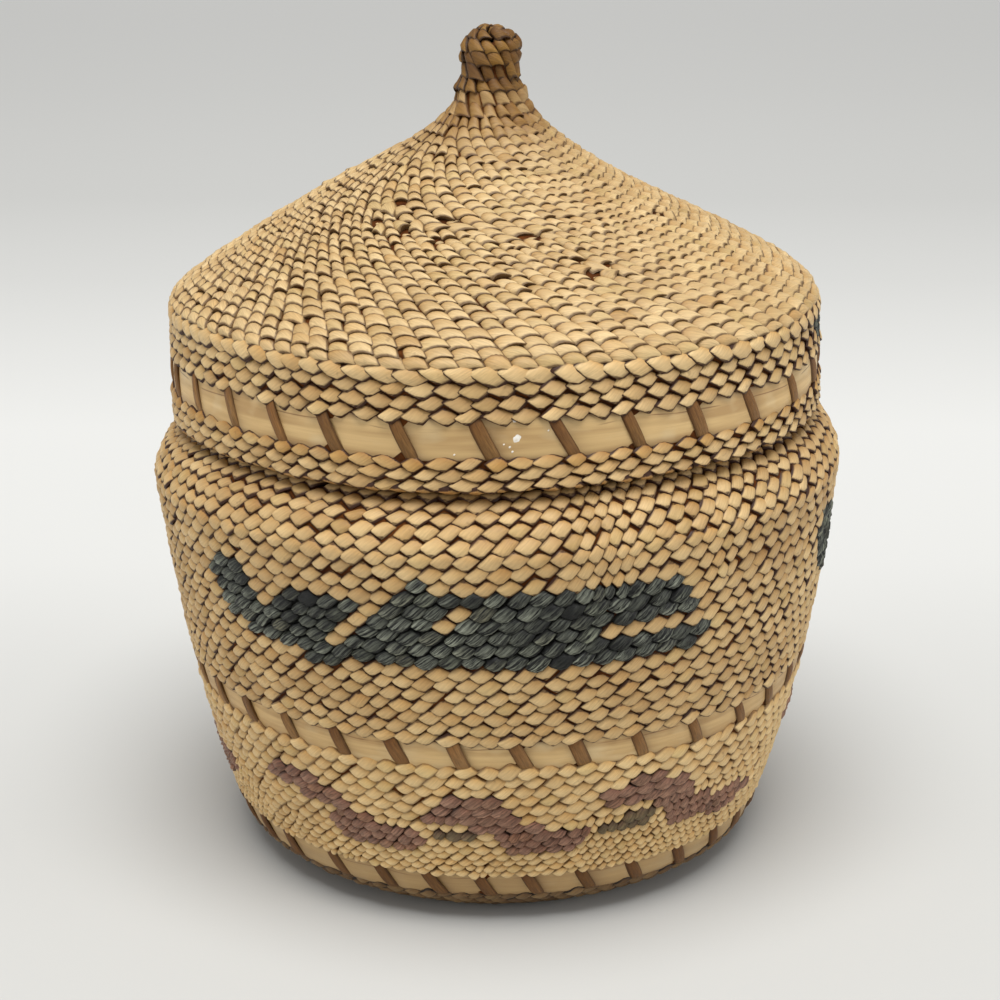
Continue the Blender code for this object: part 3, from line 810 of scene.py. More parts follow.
def strand_group():
    """Fibres along a strand, a tone for each stitch, soft blotches over the basket, and painted shade at its edges
    and tucked end.
    """
    found = bpy.data.node_groups.get("Strand fibres")
    if found:
        return found
    tree = bpy.data.node_groups.new("Strand fibres", "ShaderNodeTree")
    for names, way, kind in (
        (STRAND_COLOURS, "INPUT", "Color"),
        (STRAND_AMOUNTS, "INPUT", "Float"),
        (("Colour",), "OUTPUT", "Color"),
        (("Height", "Roughness"), "OUTPUT", "Float"),
    ):
        for name in names:
            tree.interface.new_socket(name=name, in_out=way, socket_type=f"NodeSocket{kind}")
    given = node(tree, "NodeGroupInput").outputs
    result = node(tree, "NodeGroupOutput").inputs
    longer = node(tree, "ShaderNodeVectorMath", operation="SCALE")
    feed(tree, longer.inputs[0], stored(tree, "grain", "Vector"))
    feed(tree, longer.inputs["Scale"], given["Fibre scale"])
    grain, place, key = longer.outputs[0], place_in_space(tree), stored(tree, "key")
    fibre = noise(tree, grain, rough=0.6, stretch=(0.5, 6.5, 1.0))
    fine = noise(tree, grain, detail=2.0, rough=0.6, stretch=(1.3, 22.0, 1.0))
    crease = noise(tree, grain, detail=1.0, rough=0.4, stretch=(0.35, 1.6, 1.0))
    blotch = noise(tree, place, 70.0, rough=0.55)
    speck = noise(tree, place, 900.0, detail=2.0, rough=0.6)

    warmer, greener = srgb(236, 218, 186), srgb(230, 230, 204)
    depth = maths(tree, "ADD", scaled(tree, ranged(tree, blotch, 0.35, 0.7), given["Blotch"]), stored(tree, "tone"))
    colour = mixed(tree, "MIX", ranged(tree, depth, 0.2, 1.2), given["Pale"], given["Deep"])
    colour = touched(tree, colour, warmer, key, 0.82, 1.0, 0.6, "MULTIPLY")
    colour = mixed(tree, "MULTIPLY", ranged(tree, key, 0.0, 0.2, 0.45, 0.0), colour, greener)
    colour = mixed(tree, "MIX", stored(tree, "stain"), colour, given["Stain"])
    both = maths(tree, "ADD", scaled(tree, fibre, 0.65), scaled(tree, fine, 0.35))
    strength = scaled(tree, ranged(tree, both, 0.38, 0.62, 1.0, 0.0), given["Fibre"])
    colour = mixed(tree, "MIX", strength, colour, given["Edge"])
    colour = touched(tree, colour, given["Deep"], crease, 0.5, 0.72, 0.22)
    colour = touched(tree, colour, given["Edge"], speck, 0.66, 0.78, 0.3)
    # Painted shade: the tucked end and side take on the tucked colour.
    colour = touched(tree, colour, given["Tucked shade"], stored(tree, "tuck_shade"), 0.1, 1.0, 0.85, "MULTIPLY")
    # Painted shade at the edges between stitches, made ragged by the fibres.
    ragged = maths(tree, "ADD", stored(tree, "rim"), scaled(tree, maths(tree, "SUBTRACT", fibre, 0.5), 0.4))
    darkened = scaled(tree, ranged(tree, ragged, 0.47, 0.73), given["Edge shade"])
    feed(tree, result["Colour"], mixed(tree, "MIX", darkened, colour, given["Edge"]))
    feed(tree, result["Height"], maths(tree, "ADD", scaled(tree, fibre, 0.7), scaled(tree, fine, 0.3)))
    feed(tree, result["Roughness"], ranged(tree, fibre, 0.3, 0.7, 0.46, 0.62))
    return tree


# Colours are pale, deep, edge (dark fibres and painted edge shade), stain and painted tucked-end shade: the name of a
# setting, or 0 to 255.
STRAW = ("straw", "straw_deep", "straw_edge", "golden", (204, 176, 128))
STRAND_FINISHES = {
    "Grass straw": {"colours": STRAW, "edge_shade": 1.4},
    "Wall straw": {"colours": STRAW, "edge_shade": 1.1},
    # Paler straw of the lower wall, with less edge shade: painted light where the wall faces down.
    "Lower straw painted lighter": {
        "colours": ((244, 213, 156), (206, 174, 122), (74, 40, 10), "golden", (212, 184, 134)),
        "edge_shade": 0.7,
    },
    # Darker straw of the foot: painted shade where it rounds in near the floor.
    "Foot straw in painted shade": {
        "colours": ((160, 130, 86), (112, 84, 50), (30, 16, 6), "golden", (170, 144, 110)),
        "fibre": 0.4, "edge_shade": 1.2, "blotch": 0.6,
    },
    "Cone straw": {
        "colours": ((230, 201, 149), (198, 167, 116), (66, 34, 6), (146, 108, 52), (200, 170, 120)),
        "fibre": 0.3, "edge_shade": 0.8,
    },
    "Knob straw": {
        "colours": ((192, 150, 74), (156, 116, 52), (46, 24, 4), (116, 80, 30), (200, 168, 116)),
        "fibre": 0.4, "edge_shade": 0.9, "blotch": 0.5, "bump": 0.9,
    },
    "Dark dyed grass": {
        "colours": ("dark", (22, 25, 21), (1, 2, 1), "olive", (84, 88, 84)),
        "fibre": 1.4, "edge_shade": 2.0, "blotch": 0.4, "scale": 0.55, "bump": 1.0, "level": 0.4,
    },
    "Mauve dyed grass": {
        "colours": ("mauve", (150, 108, 86), (40, 20, 10), "olive", (178, 146, 132)),
        "fibre": 0.75, "edge_shade": 0.9, "blotch": 0.5, "scale": 0.6, "bump": 0.9,
    },
    "Split bark": {
        "colours": ("bark", (124, 86, 46), (50, 29, 10), (72, 46, 28), (214, 190, 160)),
        "fibre": 0.55, "edge_shade": 0.5, "blotch": 0.4, "scale": 1.2, "bump": 1.0, "level": 0.25,
    },
}


def paint_strand(tree, shader, colours, edge_shade, fibre=0.24, blotch=0.45, scale=1.0, bump=0.7, level=0.35):
    """A strand finish: the shared fibres with this finish's own colours."""
    group = node(tree, "ShaderNodeGroup", node_tree=strand_group())
    for key, value in zip(STRAND_COLOURS, colours):
        group.inputs[key].default_value = getattr(palette(), value) if isinstance(value, str) else srgb(*value)
    for key, value in zip(STRAND_AMOUNTS, (fibre, edge_shade, blotch, scale)):
        group.inputs[key].default_value = value
    out = group.outputs
    surface(tree, shader, out["Colour"], out["Roughness"], out["Height"], bump, level=level)


def paint_hollow(tree, shader):
    """The dark hollow behind and between stitches; behind the dyed figures it is painted near black, as shade."""
    patch = ranged(tree, noise(tree, place_in_space(tree), 600.0, rough=0.6), 0.35, 0.65)
    brown = mixed(tree, "MIX", patch, srgb(56, 25, 2), srgb(92, 48, 10))
    # Painted shade: near black in the gaps between dyed stitches, where the stored value says.
    colour = mixed(tree, "MIX", stored(tree, "stain"), brown, srgb(8, 8, 6))
    surface(tree, shader, colour, 0.85, patch, strength=0.6, distance=0.2 * MM, level=0.15)


def paint_mat(tree, shader):
    """Flat bark strips of the base, with fibres along them and worn pale patches."""
    place = place_in_space(tree)
    fibre = noise(tree, place, detail=4.0, rough=0.6, stretch=(120.0, 2600.0, 900.0))
    patch = noise(tree, place, 90.0)
    colour = mixed(tree, "MIX", ranged(tree, fibre, 0.35, 0.65), srgb(100, 68, 40), srgb(156, 114, 74))
    colour = touched(tree, colour, srgb(176, 138, 96), patch, 0.4, 0.7, 0.5)
    roughness = ranged(tree, fibre, 0.3, 0.7, 0.6, 0.8)
    surface(tree, shader, colour, roughness, fibre, strength=0.8, distance=0.2 * MM, level=0.25)


def paint_band(tree, shader):
    """Smooth strip: fine lengthwise grain, broad paler and browner lengths, scuffs beside the warps, and painted
    shade in front and along its edges.
    """
    grain = stored(tree, "grain", "Vector")
    wide = noise(tree, grain, stretch=(0.05, 0.8, 1.0))
    fine = noise(tree, grain, rough=0.6, stretch=(0.12, 14.0, 1.0))
    patch = noise(tree, grain, detail=2.0, stretch=(0.22, 0.5, 1.0))
    wander = noise(tree, grain, detail=1.0, rough=0.4, stretch=(0.09, 0.0, 1.0))
    length = noise(tree, grain, detail=1.0, rough=0.4, stretch=(0.16, 0.0, 3.0))
    across = node(tree, "ShaderNodeSeparateXYZ")
    feed(tree, across.inputs[0], grain)
    colour = mixed(tree, "MIX", ranged(tree, wide, 0.38, 0.66), palette().band, srgb(186, 150, 98))
    colour = touched(tree, colour, srgb(156, 122, 78), fine, 0.5, 0.75, 0.2)
    colour = touched(tree, colour, srgb(222, 200, 156), patch, 0.52, 0.72, 0.45)
    middle = ranged(tree, wander, 0.2, 0.8, 0.5, 1.5)
    line = maths(tree, "ABSOLUTE", maths(tree, "SUBTRACT", across.outputs["Y"], middle))
    split = scaled(tree, ranged(tree, line, 0.02, 0.09, 0.75, 0.0), ranged(tree, length, 0.46, 0.54))
    colour = mixed(tree, "MIX", split, colour, srgb(120, 78, 40))
    # Scuffs and the painted shade in front, both carried by the stored tone.
    colour = mixed(tree, "MIX", scaled(tree, stored(tree, "tone"), 0.6), colour, srgb(130, 98, 60))
    # Painted shade along the edges, where the strip runs under the rows.
    edge = scaled(tree, maths(tree, "POWER", stored(tree, "rim"), 4.0), 0.85)
    colour = mixed(tree, "MIX", edge, colour, srgb(84, 56, 30))
    surface(tree, shader, colour, ranged(tree, fine, 0.3, 0.7, 0.4, 0.56), fine, strength=0.25, level=0.4)


def paint_flake(tree, shader):
    """Chalky pale dirt."""
    patch = noise(tree, place_in_space(tree), 1800.0, rough=0.6)
    colour = mixed(tree, "MIX", ranged(tree, patch, 0.35, 0.65), srgb(244, 240, 230), srgb(222, 212, 194))
    surface(tree, shader, colour, 0.8, patch, strength=0.4)


# The floor paper's greys from near (0) to far (1), which paint its light and shade, where those lie in metres,
# and how warm the greys are.
PAPER_NEAR, PAPER_FAR, PAPER_WARMTH = -0.2, 1.4, 3
PAPER_PAINTED_LIGHT = (
    (0.0, 194), (0.12, 195), (0.15, 202), (0.18, 211), (0.23, 217), (0.32, 208), (0.4, 206), (0.58, 222),
    (0.9, 251), (1.0, 253),
)


def paint_floor(tree, shader):
    """Pale paper that grows lighter towards the back, its light and shade painted into its colour."""
    place = node(tree, "ShaderNodeSeparateXYZ")
    feed(tree, place.inputs[0], place_in_space(tree))
    ramp = node(tree, "ShaderNodeValToRGB")
    feed(tree, ramp.inputs["Fac"], ranged(tree, place.outputs["Y"], PAPER_NEAR, PAPER_FAR))
    elements = ramp.color_ramp.elements
    elements.remove(elements[1])
    for position, grey in PAPER_PAINTED_LIGHT:
        stop = elements.new(position) if position else elements[0]
        stop.color = srgb(grey, grey, grey - PAPER_WARMTH)
    feed(tree, shader.inputs["Base Color"], ramp.outputs["Color"])
    shader.inputs["Roughness"].default_value = 0.9
    shader.inputs["Specular IOR Level"].default_value = 0.1


PLAIN_FINISHES = {
    "Hidden warps": paint_hollow,
    "Mat bark": paint_mat,
    "Band strip": paint_band,
    "Pale flake": paint_flake,
    "Floor paper": paint_floor,
}


def finish(name):
    """The material of this name, made when a piece first asks for it."""
    material = bpy.data.materials.get(name)
    if material is None:
        material = bpy.data.materials.new(name)
        material.use_nodes = True
        tree = material.node_tree
        shader = tree.nodes["Principled BSDF"]
        if name in STRAND_FINISHES:
            paint_strand(tree, shader, **STRAND_FINISHES[name])
        else:
            PLAIN_FINISHES[name](tree, shader)
    return material


# ---- woven pieces: how their stitches, rows and places are set out

# Long and cross edge of a stitch, as shares of one column step and one row step.
WALL_EDGES = ((1.08, 1.04), (0.45, -0.70))
SKIRT_EDGES = ((0.99, 0.96), (0.47, -0.75))
CROWN_EDGES = ((1.17, 0.36), (-0.02, -1.22))
KNOB_EDGES = ((1.1, 0.25), (0.0, -1.2))
RIDGE_EDGES = ((1.2, 0.85), (0.46, -1.15))
INNER_EDGES = ((1.0, 0.9), (0.36, -0.6))

# The wall's rows: how their heights change, the row from which the lower ones take in more columns, and the row at
# which the upper ones become the shoulder.
LOWER_HEIGHTS, UPPER_HEIGHTS, LEDGE_HEIGHTS = (1.45, 0.88), (1.22, 1.5), (1.25, 1.25, 1.2)
WIDENING_ROW, ADDED_COLUMNS = 4, 7
SHOULDER_ROW, SHOULDER_COLUMNS = 12, 3
# Their tones: the lower rows are paler, as painted light, and the last rows of the shoulder darker, as painted
# shade under the lid. The ledge's rows lie lower.
LOWER_PAINTED_LIGHT, UNDER_LID_SHADE, LEDGE_LIFT = 0.6, 0.6, -0.05
# Dyed stitches stand up further and are longer and wider than the straw ones, by these shares.
DYED_LIFT, DYED_LONGER, DYED_WIDER = 0.14, 0.06, 0.14

FOOT_ROWS = 5
FLANGE_ROWS, FLANGE_COLUMNS, FLANGE_ADDED = 4, 75, 8
NECK_COLUMNS, NECK_ROWS, NECK_WRAPS = 96, 6, 112
ABOVE_BAND_HEIGHTS, BELOW_BAND_HEIGHTS = (1.3, 1.3, 1.3, 1.5), (1.12, 1.12, 1.12)
RIDGE_ROW = 3
INNER_ROW = 1.4
CORE_ROUND, CORE_GAP = 180, 0.4

# The strips: points round them and across their face, how far they run on under the rows, how deep their face and
# their back lie, how far the face stands up across them and between two warps, and over what distance from a warp.
STRIP_ROUND, STRIP_ACROSS, STRIP_BEHIND = 720, 15, 5
STRIP_OVERLAP, STRIP_FACE, STRIP_BACK = 0.35, -0.42, -1.0
STRIP_CROWN, STRIP_BULGE, BULGE_FROM_WARP = 0.08, 0.12, 2.5
# How near a crossing warp they are scuffed, over what distance that fades, and in how many patches round.
SCUFF_START, SCUFF_FADE, SCUFF_PATCHES = 0.7, 0.8, 23
WARP_WIDTH, WARP_OVERLAP = 0.74, 0.4

# The lid's top: its columns at each radius, its row heights from the edge to the knob, the rows at which the flare,
# the knob's stitch and the knob begin, and the heights between which the beads turn brown.
CROWN_RADII = (0.0, 2.0, 3.4, 6.0, 10.0, 18.0, 25.0, 32.0, 38.0)
CROWN_COLUMNS = (5, 8, 12, 25, 40, 66, 84, 89, 90)
CROWN_SHARES, CROWN_HEIGHTS = (0, 0.45, 1), (1.4, 1.12, 1.5)
FLARE_ROW, KNOT_ROW, KNOB_ROW, LAST_ROW = 14, 31, 33, 39
BROWN_FROM, BROWN_TO = 79, 87

# Rough places on the cone: degrees from the front, height.
ROUGH_PLACES = (
    (-31.5, 76.0), (-28.5, 77.3), (-20.0, 75.6), (-11.5, 74.8), (-9.0, 76.7), (26.5, 71.8), (25.0, 72.9),
    (31.5, 72.0), (13.0, 74.8), (70.0, 75.0), (112.0, 72.5), (158.0, 78.0), (-86.0, 73.5), (-140.0, 76.5),
)
# Pale flakes on the lid's band: degrees from the front, height, radius; and their rings: share of it, depth.
FLAKES = (
    (3.6, 57.95, 0.55), (3.4, 59.9, 0.28), (2.5, 57.1, 0.14), (1.6, 57.4, 0.1), (2.9, 56.6, 0.12),
    (-6.0, 56.4, 0.1), (8.5, 58.6, 0.09),
)
FLAKE_ROUND, FLAKE_RINGS, FLAKE_HUBS = 14, ((1.0, -0.42), (1.0, -0.2), (0.6, -0.16)), (-0.15, -0.42)


def lay_wall(name, spots, nodes, straw_finish):
    """Straw, dark and mauve stitches of one part of the wall as separate pieces."""
    masks = figures(spots)
    dyed = {"dark": masks["dark"], "mauve": masks["mauve"] | masks["olive"]}
    spots["stain"] = np.where(masks["olive"], 0.9, spots["stain"])
    straw = lay_strands(WALL, pick(spots, ~dyed["dark"] & ~dyed["mauve"]))
    make_piece(f"{name}_straw", straw, "basket", straw_finish, nodes)
    for colour, relief in (("dark", DARK_RELIEF), ("mauve", MAUVE_RELIEF)):
        chosen = pick(spots, dyed[colour])
        if len(chosen["turn"]):
            chosen["lift"] = chosen["lift"] + DYED_LIFT
            for key, share in (("e1", DYED_LONGER), ("e2", DYED_WIDER)):
                chosen[key] = chosen[key] + chosen[key] * share
            laid = lay_strands(WALL, chosen, ROUGH_LEAF, **relief)
            make_piece(f"{name}_{colour}", laid, "basket", f"{colour.title()} dyed grass", nodes)


class BASKET_OT_wall(bpy.types.Operator):
    """Weaves the basket's wall: lower wall, upper wall with its figures, shoulder and ledge"""

    bl_idname = "basket.wall"
    bl_label = "Weave the wall"

    def execute(self, context):
        f = form()
        count, shift = f.wall_columns, f.wall_shift
        rng = np.random.default_rng(f.seed)

        def count_low(radius, row):
            return count + ADDED_COLUMNS * max(row - WIDENING_ROW, 0)

        def count_high(radius, row):
            return count if row < SHOULDER_ROW else count + SHOULDER_COLUMNS

        length = band_edge("middle_band", "low") - band_edge("base_band", "high")
        heights = stretch_heights(np.linspace(*LOWER_HEIGHTS, f.lower_rows), length)
        end = crossing_turns("base_band", 1)[0]
        spots = weave_from("middle_band", "low", heights, count_low, shift, rng, WALL_EDGES, end)
        # Painted light: the lower rows are made paler.
        spots["tone"] *= LOWER_PAINTED_LIGHT
        lay_wall("lower_wall", spots, ["lower_wall"], "Lower straw painted lighter")

        length = WALL.along_height(LEDGE - 0.05) - band_edge("middle_band", "high")
        heights = stretch_heights(np.linspace(*UPPER_HEIGHTS, f.upper_rows), length)
        heights = np.append(heights, LEDGE_HEIGHTS)
        spots = weave_from("middle_band", "high", heights, count_high, shift, rng, WALL_EDGES)
        row = spots["row"]
        spots["lift"][row >= f.upper_rows] = LEDGE_LIFT
        # Painted shade under the lid: the last rows of the shoulder are darker.
        spots["tone"] = spots["tone"] + UNDER_LID_SHADE * smooth(row, f.upper_rows - 5, f.upper_rows - 1)
        lay_wall("upper_wall", pick(spots, row < SHOULDER_ROW), ["upper_wall"], "Wall straw")
        lay_wall("shoulder", pick(spots, row >= SHOULDER_ROW), ["upper_wall"], "Wall straw")
        return {"FINISHED"}


class BASKET_OT_foot(bpy.types.Operator):
    """Weaves the rows that round in below the base band and the flange that carries the mat"""

    bl_idname = "basket.foot"
    bl_label = "Weave the foot"

    def execute(self, context):
        f = form()
        rng = np.random.default_rng(f.seed + 1)
        heights = np.full(FOOT_ROWS, band_edge("base_band", "low") / FOOT_ROWS)
        rows = weave_from("base_band", "low", heights, f.wall_columns, f.wall_shift, rng, WALL_EDGES, lift=0.0)

        def count_of(radius, row):
            return FLANGE_COLUMNS + FLANGE_ADDED * row

        first = columns_from(crossing_turns("base_band", -1))[:FLANGE_COLUMNS]
        heights = np.full(FLANGE_ROWS, FLANGE.length / FLANGE_ROWS)
        below = woven_rows(FLANGE, 0.0, heights, count_of, first, 0.3, rng)
        shape_stitches(below, INNER_EDGES, rng, lift=0.02)
        whole = join_parts(lay_strands(WALL, rows), lay_strands(FLANGE, below, arch=0.08))
        make_piece("foot_rows", whole, "basket", "Foot straw in painted shade", ["foot_twining"])
        return {"FINISHED"}


class BASKET_OT_cores(bpy.types.Operator):
    """Makes the dark inner layer behind the stitches of the wall, neck and lid"""

    bl_idname = "basket.cores"
    bl_label = "Make the inner layer"

    def execute(self, context):
        wall_stop, ledge_start = WALL.along_height(LEDGE - 0.3), WALL.along_height(LEDGE - 0.06)
        whole_wall = ["foot_twining", "lower_wall", "upper_wall"]
        turns = even_turns(CORE_ROUND)
        for name, line, start, stop, back, body, nodes in (
            ("wall_core", WALL, 0.3, wall_stop, 1.9, "basket", whole_wall),
            ("flange_core", FLANGE, 0.1, FLANGE.length, 1.0, "basket", ["foot_twining"]),
            ("ledge_core", WALL, ledge_start, WALL.length, 1.6, "basket", ["upper_wall"]),
            ("neck_core", NECK, 0.2, NECK.length, 1.2, "basket", ["neck"]),
            ("binding_core", MOUTH, 0.0, MOUTH.length, 0.0, "basket", ["neck_binding"]),
            ("skirt_core", SKIRT, 1.0, SKIRT.length, 1.9, "lid", ["lid_rim", "lid_skirt"]),
            ("crown_core", CROWN, 0.0, CROWN.along_height(93.4), 1.7, "lid", ["lid_crown", "finial"]),
        ):
            figured = name == "wall_core"
            along = np.linspace(start, stop, 90 if figured else 40)
            radius, height = line.at(along)
            out_r, out_z = line.outward(along)
            outer = np.maximum(radius - CORE_GAP * out_r, 0.1), height - CORE_GAP * out_z
            inner = np.maximum(radius - back * out_r, 0.05), height - back * out_z
            radius, height = np.concatenate((outer, np.flip(inner, 1)), 1) if back else np.array(outer)
            size = len(radius)
            x, y = np.outer(np.cos(turns), radius), np.outer(np.sin(turns), radius)
            points = np.stack((x, y, np.tile(height, (len(turns), 1))), -1)
            laid = {"points": points.reshape(-1, 3), "faces": [ring_quads(len(turns), size)]}
            if figured:
                along = np.append(along, np.zeros(size - len(along)))
                dyed = figures({"turn": np.repeat(turns, size), "along": np.tile(along, len(turns))})
                # Behind the dark and mauve figures the core is painted near black, as shade in the gaps between their
                # stitches.
                laid["values"] = {"stain": dyed["dark"] * 1.0 + dyed["mauve"] * 0.6}
            make_piece(name, laid, body, "Hidden warps", nodes, sharp=None)
        return {"FINISHED"}


class BASKET_OT_linings(bpy.types.Operator):
    """Weaves the plain inner faces of the basket and the lid"""

    bl_idname = "basket.linings"
    bl_label = "Weave the inner faces"

    def execute(self, context):
        f = form()
        rng = np.random.default_rng(f.seed + 7)
        basket_nodes = ["foot_twining", "lower_wall", "upper_wall", "neck"]
        for name, line, count, body, nodes in (
            ("basket_lining", INSIDE, f.wall_columns, "basket", basket_nodes),
            ("lid_lining", CEILING, f.lid_columns, "lid", ["lid_skirt", "lid_crown"]),
        ):
            rows = int(line.length / INNER_ROW)

            def count_of(radius, row):
                return max(int(round(min(count, count * (radius / 30) ** 0.9))), 6)

            spots = woven_rows(line, 0.0, np.full(rows, line.length / rows), count_of, even_turns(count), 0.35, rng)
            shape_stitches(spots, INNER_EDGES, rng, lift=0.0)
            laid = lay_strands(line, spots, PLAIN_LEAF, side=-1, thickness=0.5, tilt=0.06)
            make_piece(name, laid, body, "Grass straw", nodes)
        return {"FINISHED"}


class BASKET_OT_neck(bpy.types.Operator):
    """Weaves the neck that goes up inside the lid, and wraps its mouth with bark"""

    bl_idname = "basket.neck"
    bl_label = "Weave the neck"

    def execute(self, context):
        f = form()
        rng = np.random.default_rng(f.seed + 9)
        heights = np.full(NECK_ROWS, NECK.length / NECK_ROWS)
        spots = woven_rows(NECK, 0.0, heights, NECK_COLUMNS, even_turns(NECK_COLUMNS), f.wall_shift, rng)
        shape_stitches(spots, WALL_EDGES, rng, lift=0.02)
        make_piece("neck_rows", lay_strands(NECK, spots), "basket", "Grass straw", ["neck"])
        wraps = even_strips(rng, MOUTH, NECK_WRAPS, lean=0.55, width=0.98)
        laid = lay_strands(MOUTH, wraps, STRIP, **WRAP_RELIEF)
        make_piece("neck_wraps", laid, "basket", "Split bark", ["neck_binding"], sharp=50)
        return {"FINISHED"}


def strip_bulge(apart, radius):
    """How far a strip stands out between its crossing warps, from the angles between its points and each of them."""
    nearest = np.abs(nearest_turn(apart)).min(1) * radius
    return STRIP_BULGE * smooth(nearest, 0, BULGE_FROM_WARP)


def strip_scuff(apart, radius, up):
    """How scuffed a strip is at these heights above its middle: most on the right of each slanting warp."""
    past = (apart[:, :, None] * radius + CROSSING_LEAN * up[None, None]) % (FULL_TURN * radius)
    return np.exp(-np.maximum(past.min(1) - SCUFF_START, 0) / SCUFF_FADE)


class BASKET_OT_bands(bpy.types.Operator):
    """Lays the flat strips of the three bands"""

    bl_idname = "basket.bands"
    bl_label = "Lay the bands"

    def execute(self, context):
        turns = even_turns(STRIP_ROUND) + FRONT
        share = np.concatenate((np.linspace(-1, 1, STRIP_ACROSS), np.linspace(1, -1, STRIP_BEHIND)[1:-1]))
        behind = np.arange(len(share)) >= STRIP_ACROSS
        seam = np.abs(nearest_turn(turns - FRONT))
        for name, band in BANDS.items():
            line, low = band["line"], band["low"]
            start, stop = band_edge(name, "low") - STRIP_OVERLAP, band_edge(name, "high") + STRIP_OVERLAP
            half = (stop - start) / 2
            radius = float(line.at((start + stop) / 2)[0])
            apart = turns[:, None] - crossing_turns(name)[None]
            bulge = strip_bulge(apart, radius) + 0.05 * np.sin(7 * turns + low)
            crown = STRIP_CROWN * (1 - share**2)
            depth = np.where(behind[None], STRIP_BACK, STRIP_FACE + crown[None] + bulge[:, None])
            slip = 0.08 * np.sin(3 * turns + 1 + low) + 0.05 * np.sin(11 * turns)
            along = (start + stop) / 2 + share[None] * half + slip[:, None]
            patchy = 0.55 + 0.45 * np.sin(turns * SCUFF_PATCHES + low)
            scuff = strip_scuff(apart, radius, half * share) * patchy[:, None]
            # Painted shade: the strip is darkened in front.
            darkened, spread = band["deepened"]
            shade = darkened * np.exp(-((seam / spread) ** 2))
            grain = np.repeat(seam * radius, len(share)), np.tile(share * half, len(turns)), np.full(depth.size, low)
            laid = {
                "points": line.place(along.ravel(), np.repeat(turns, len(share)), depth.ravel()),
                "faces": [ring_quads(len(turns), len(share))],
                "values": {
                    "grain": np.stack(grain, -1),
                    "rim": np.tile(share**2, len(turns)),
                    "tone": (scuff + shade[:, None]).ravel(),
                },
            }
            make_piece(f"{name}_strip", laid, band["body"], "Band strip", [name], sharp=60)
        return {"FINISHED"}


class BASKET_OT_crossings(bpy.types.Operator):
    """Lays the slanting bark warps over the three bands"""

    bl_idname = "basket.crossings"
    bl_label = "Lay the crossing warps"

    def execute(self, context):
        rng = np.random.default_rng(form().seed + 3)
        for name, band in BANDS.items():
            count = band["warps"]
            start, stop = band_edge(name, "low"), band_edge(name, "high")
            half = (stop - start) / 2 + WARP_OVERLAP
            lean = CROSSING_LEAN * rng.normal(1, 0.12, count)
            width = WARP_WIDTH * rng.normal(1, 0.08, count)
            spots = {
                "turn": crossing_turns(name),
                "along": np.full(count, (start + stop) / 2),
                "e1": np.stack([-lean * half, np.full(count, half)], -1),
                "e2": np.stack([width, width * 0.2], -1),
            }
            finish_spots(spots, rng, lift=0.08, fold=0.03)
            # The base band's warps are darker: painted shade near the floor.
            if name == "base_band":
                spots["tone"] += 0.6
            laid = lay_strands(band["line"], spots, STRIP, **WARP_RELIEF)
            nodes = [f"{name}_warps"]
            make_piece(f"{name}_crossings", laid, band["body"], "Split bark", nodes, sharp=50)
        return {"FINISHED"}


class BASKET_OT_skirt(bpy.types.Operator):
    """Weaves the lid's side below and above its band, the proud row on its shoulder and its folded lower edge"""

    bl_idname = "basket.skirt"
    bl_label = "Weave the lid's side"

    def execute(self, context):
        f = form()
        count = f.lid_columns
        rng = np.random.default_rng(f.seed + 5)
        heights = stretch_heights(ABOVE_BAND_HEIGHTS, SKIRT.length - band_edge("lid_band", "high"))
        above = weave_from("lid_band", "high", heights, count, f.lid_shift, rng, SKIRT_EDGES)
        on_edge = above["row"] == RIDGE_ROW
        ridge, above = pick(above, on_edge), pick(above, ~on_edge)
        ridge["along"] = ridge["along"] - SKIRT.along_height(RIDGE.points[0, 1])
        shape_stitches(ridge, RIDGE_EDGES, rng)
        ridge["lift"] += 0.2
        ridge["tone"] *= 0.5

        below = weave_from("lid_band", "low", BELOW_BAND_HEIGHTS, count, f.lid_shift, rng, SKIRT_EDGES, wobble=0.09)
        deepened = (below["row"] == 0) & (rng.uniform(0, 1, len(below["row"])) < 0.5)
        below["stain"][deepened] = np.maximum(below["stain"][deepened], 0.45)

        folds = even_strips(rng, RIM, count, lean=1.3, width=0.95)
        folds["stain"] = rng.uniform(0.1, 0.6, count)
        folds["tone"] += 0.6
        folds["lift"] = rng.uniform(0.0, 0.3, count)

        marked = inside(LID_MARKS, np.degrees(above["turn"] - FRONT), above["along"])
        whole = join_parts(
            lay_strands(RIDGE, ridge, RIDGE_LEAF, arch=0.16, crown=0.16, tilt=0.22, roll=0.1),
            lay_strands(SKIRT, pick(above, ~marked), **SKIRT_RELIEF),
            lay_strands(SKIRT, below, **SKIRT_RELIEF),
            lay_strands(RIM, folds, STRIP, thickness=0.4, arch=0.05),
        )
        make_piece("lid_skirt_stitches", whole, "lid", "Grass straw", ["lid_rim", "lid_skirt"])
        laid = lay_strands(SKIRT, pick(above, marked), ROUGH_LEAF, ridge=0.07, ridges=3.2, **SKIRT_RELIEF)
        make_piece("lid_marks", laid, "lid", "Dark dyed grass", ["lid_skirt"])
        return {"FINISHED"}


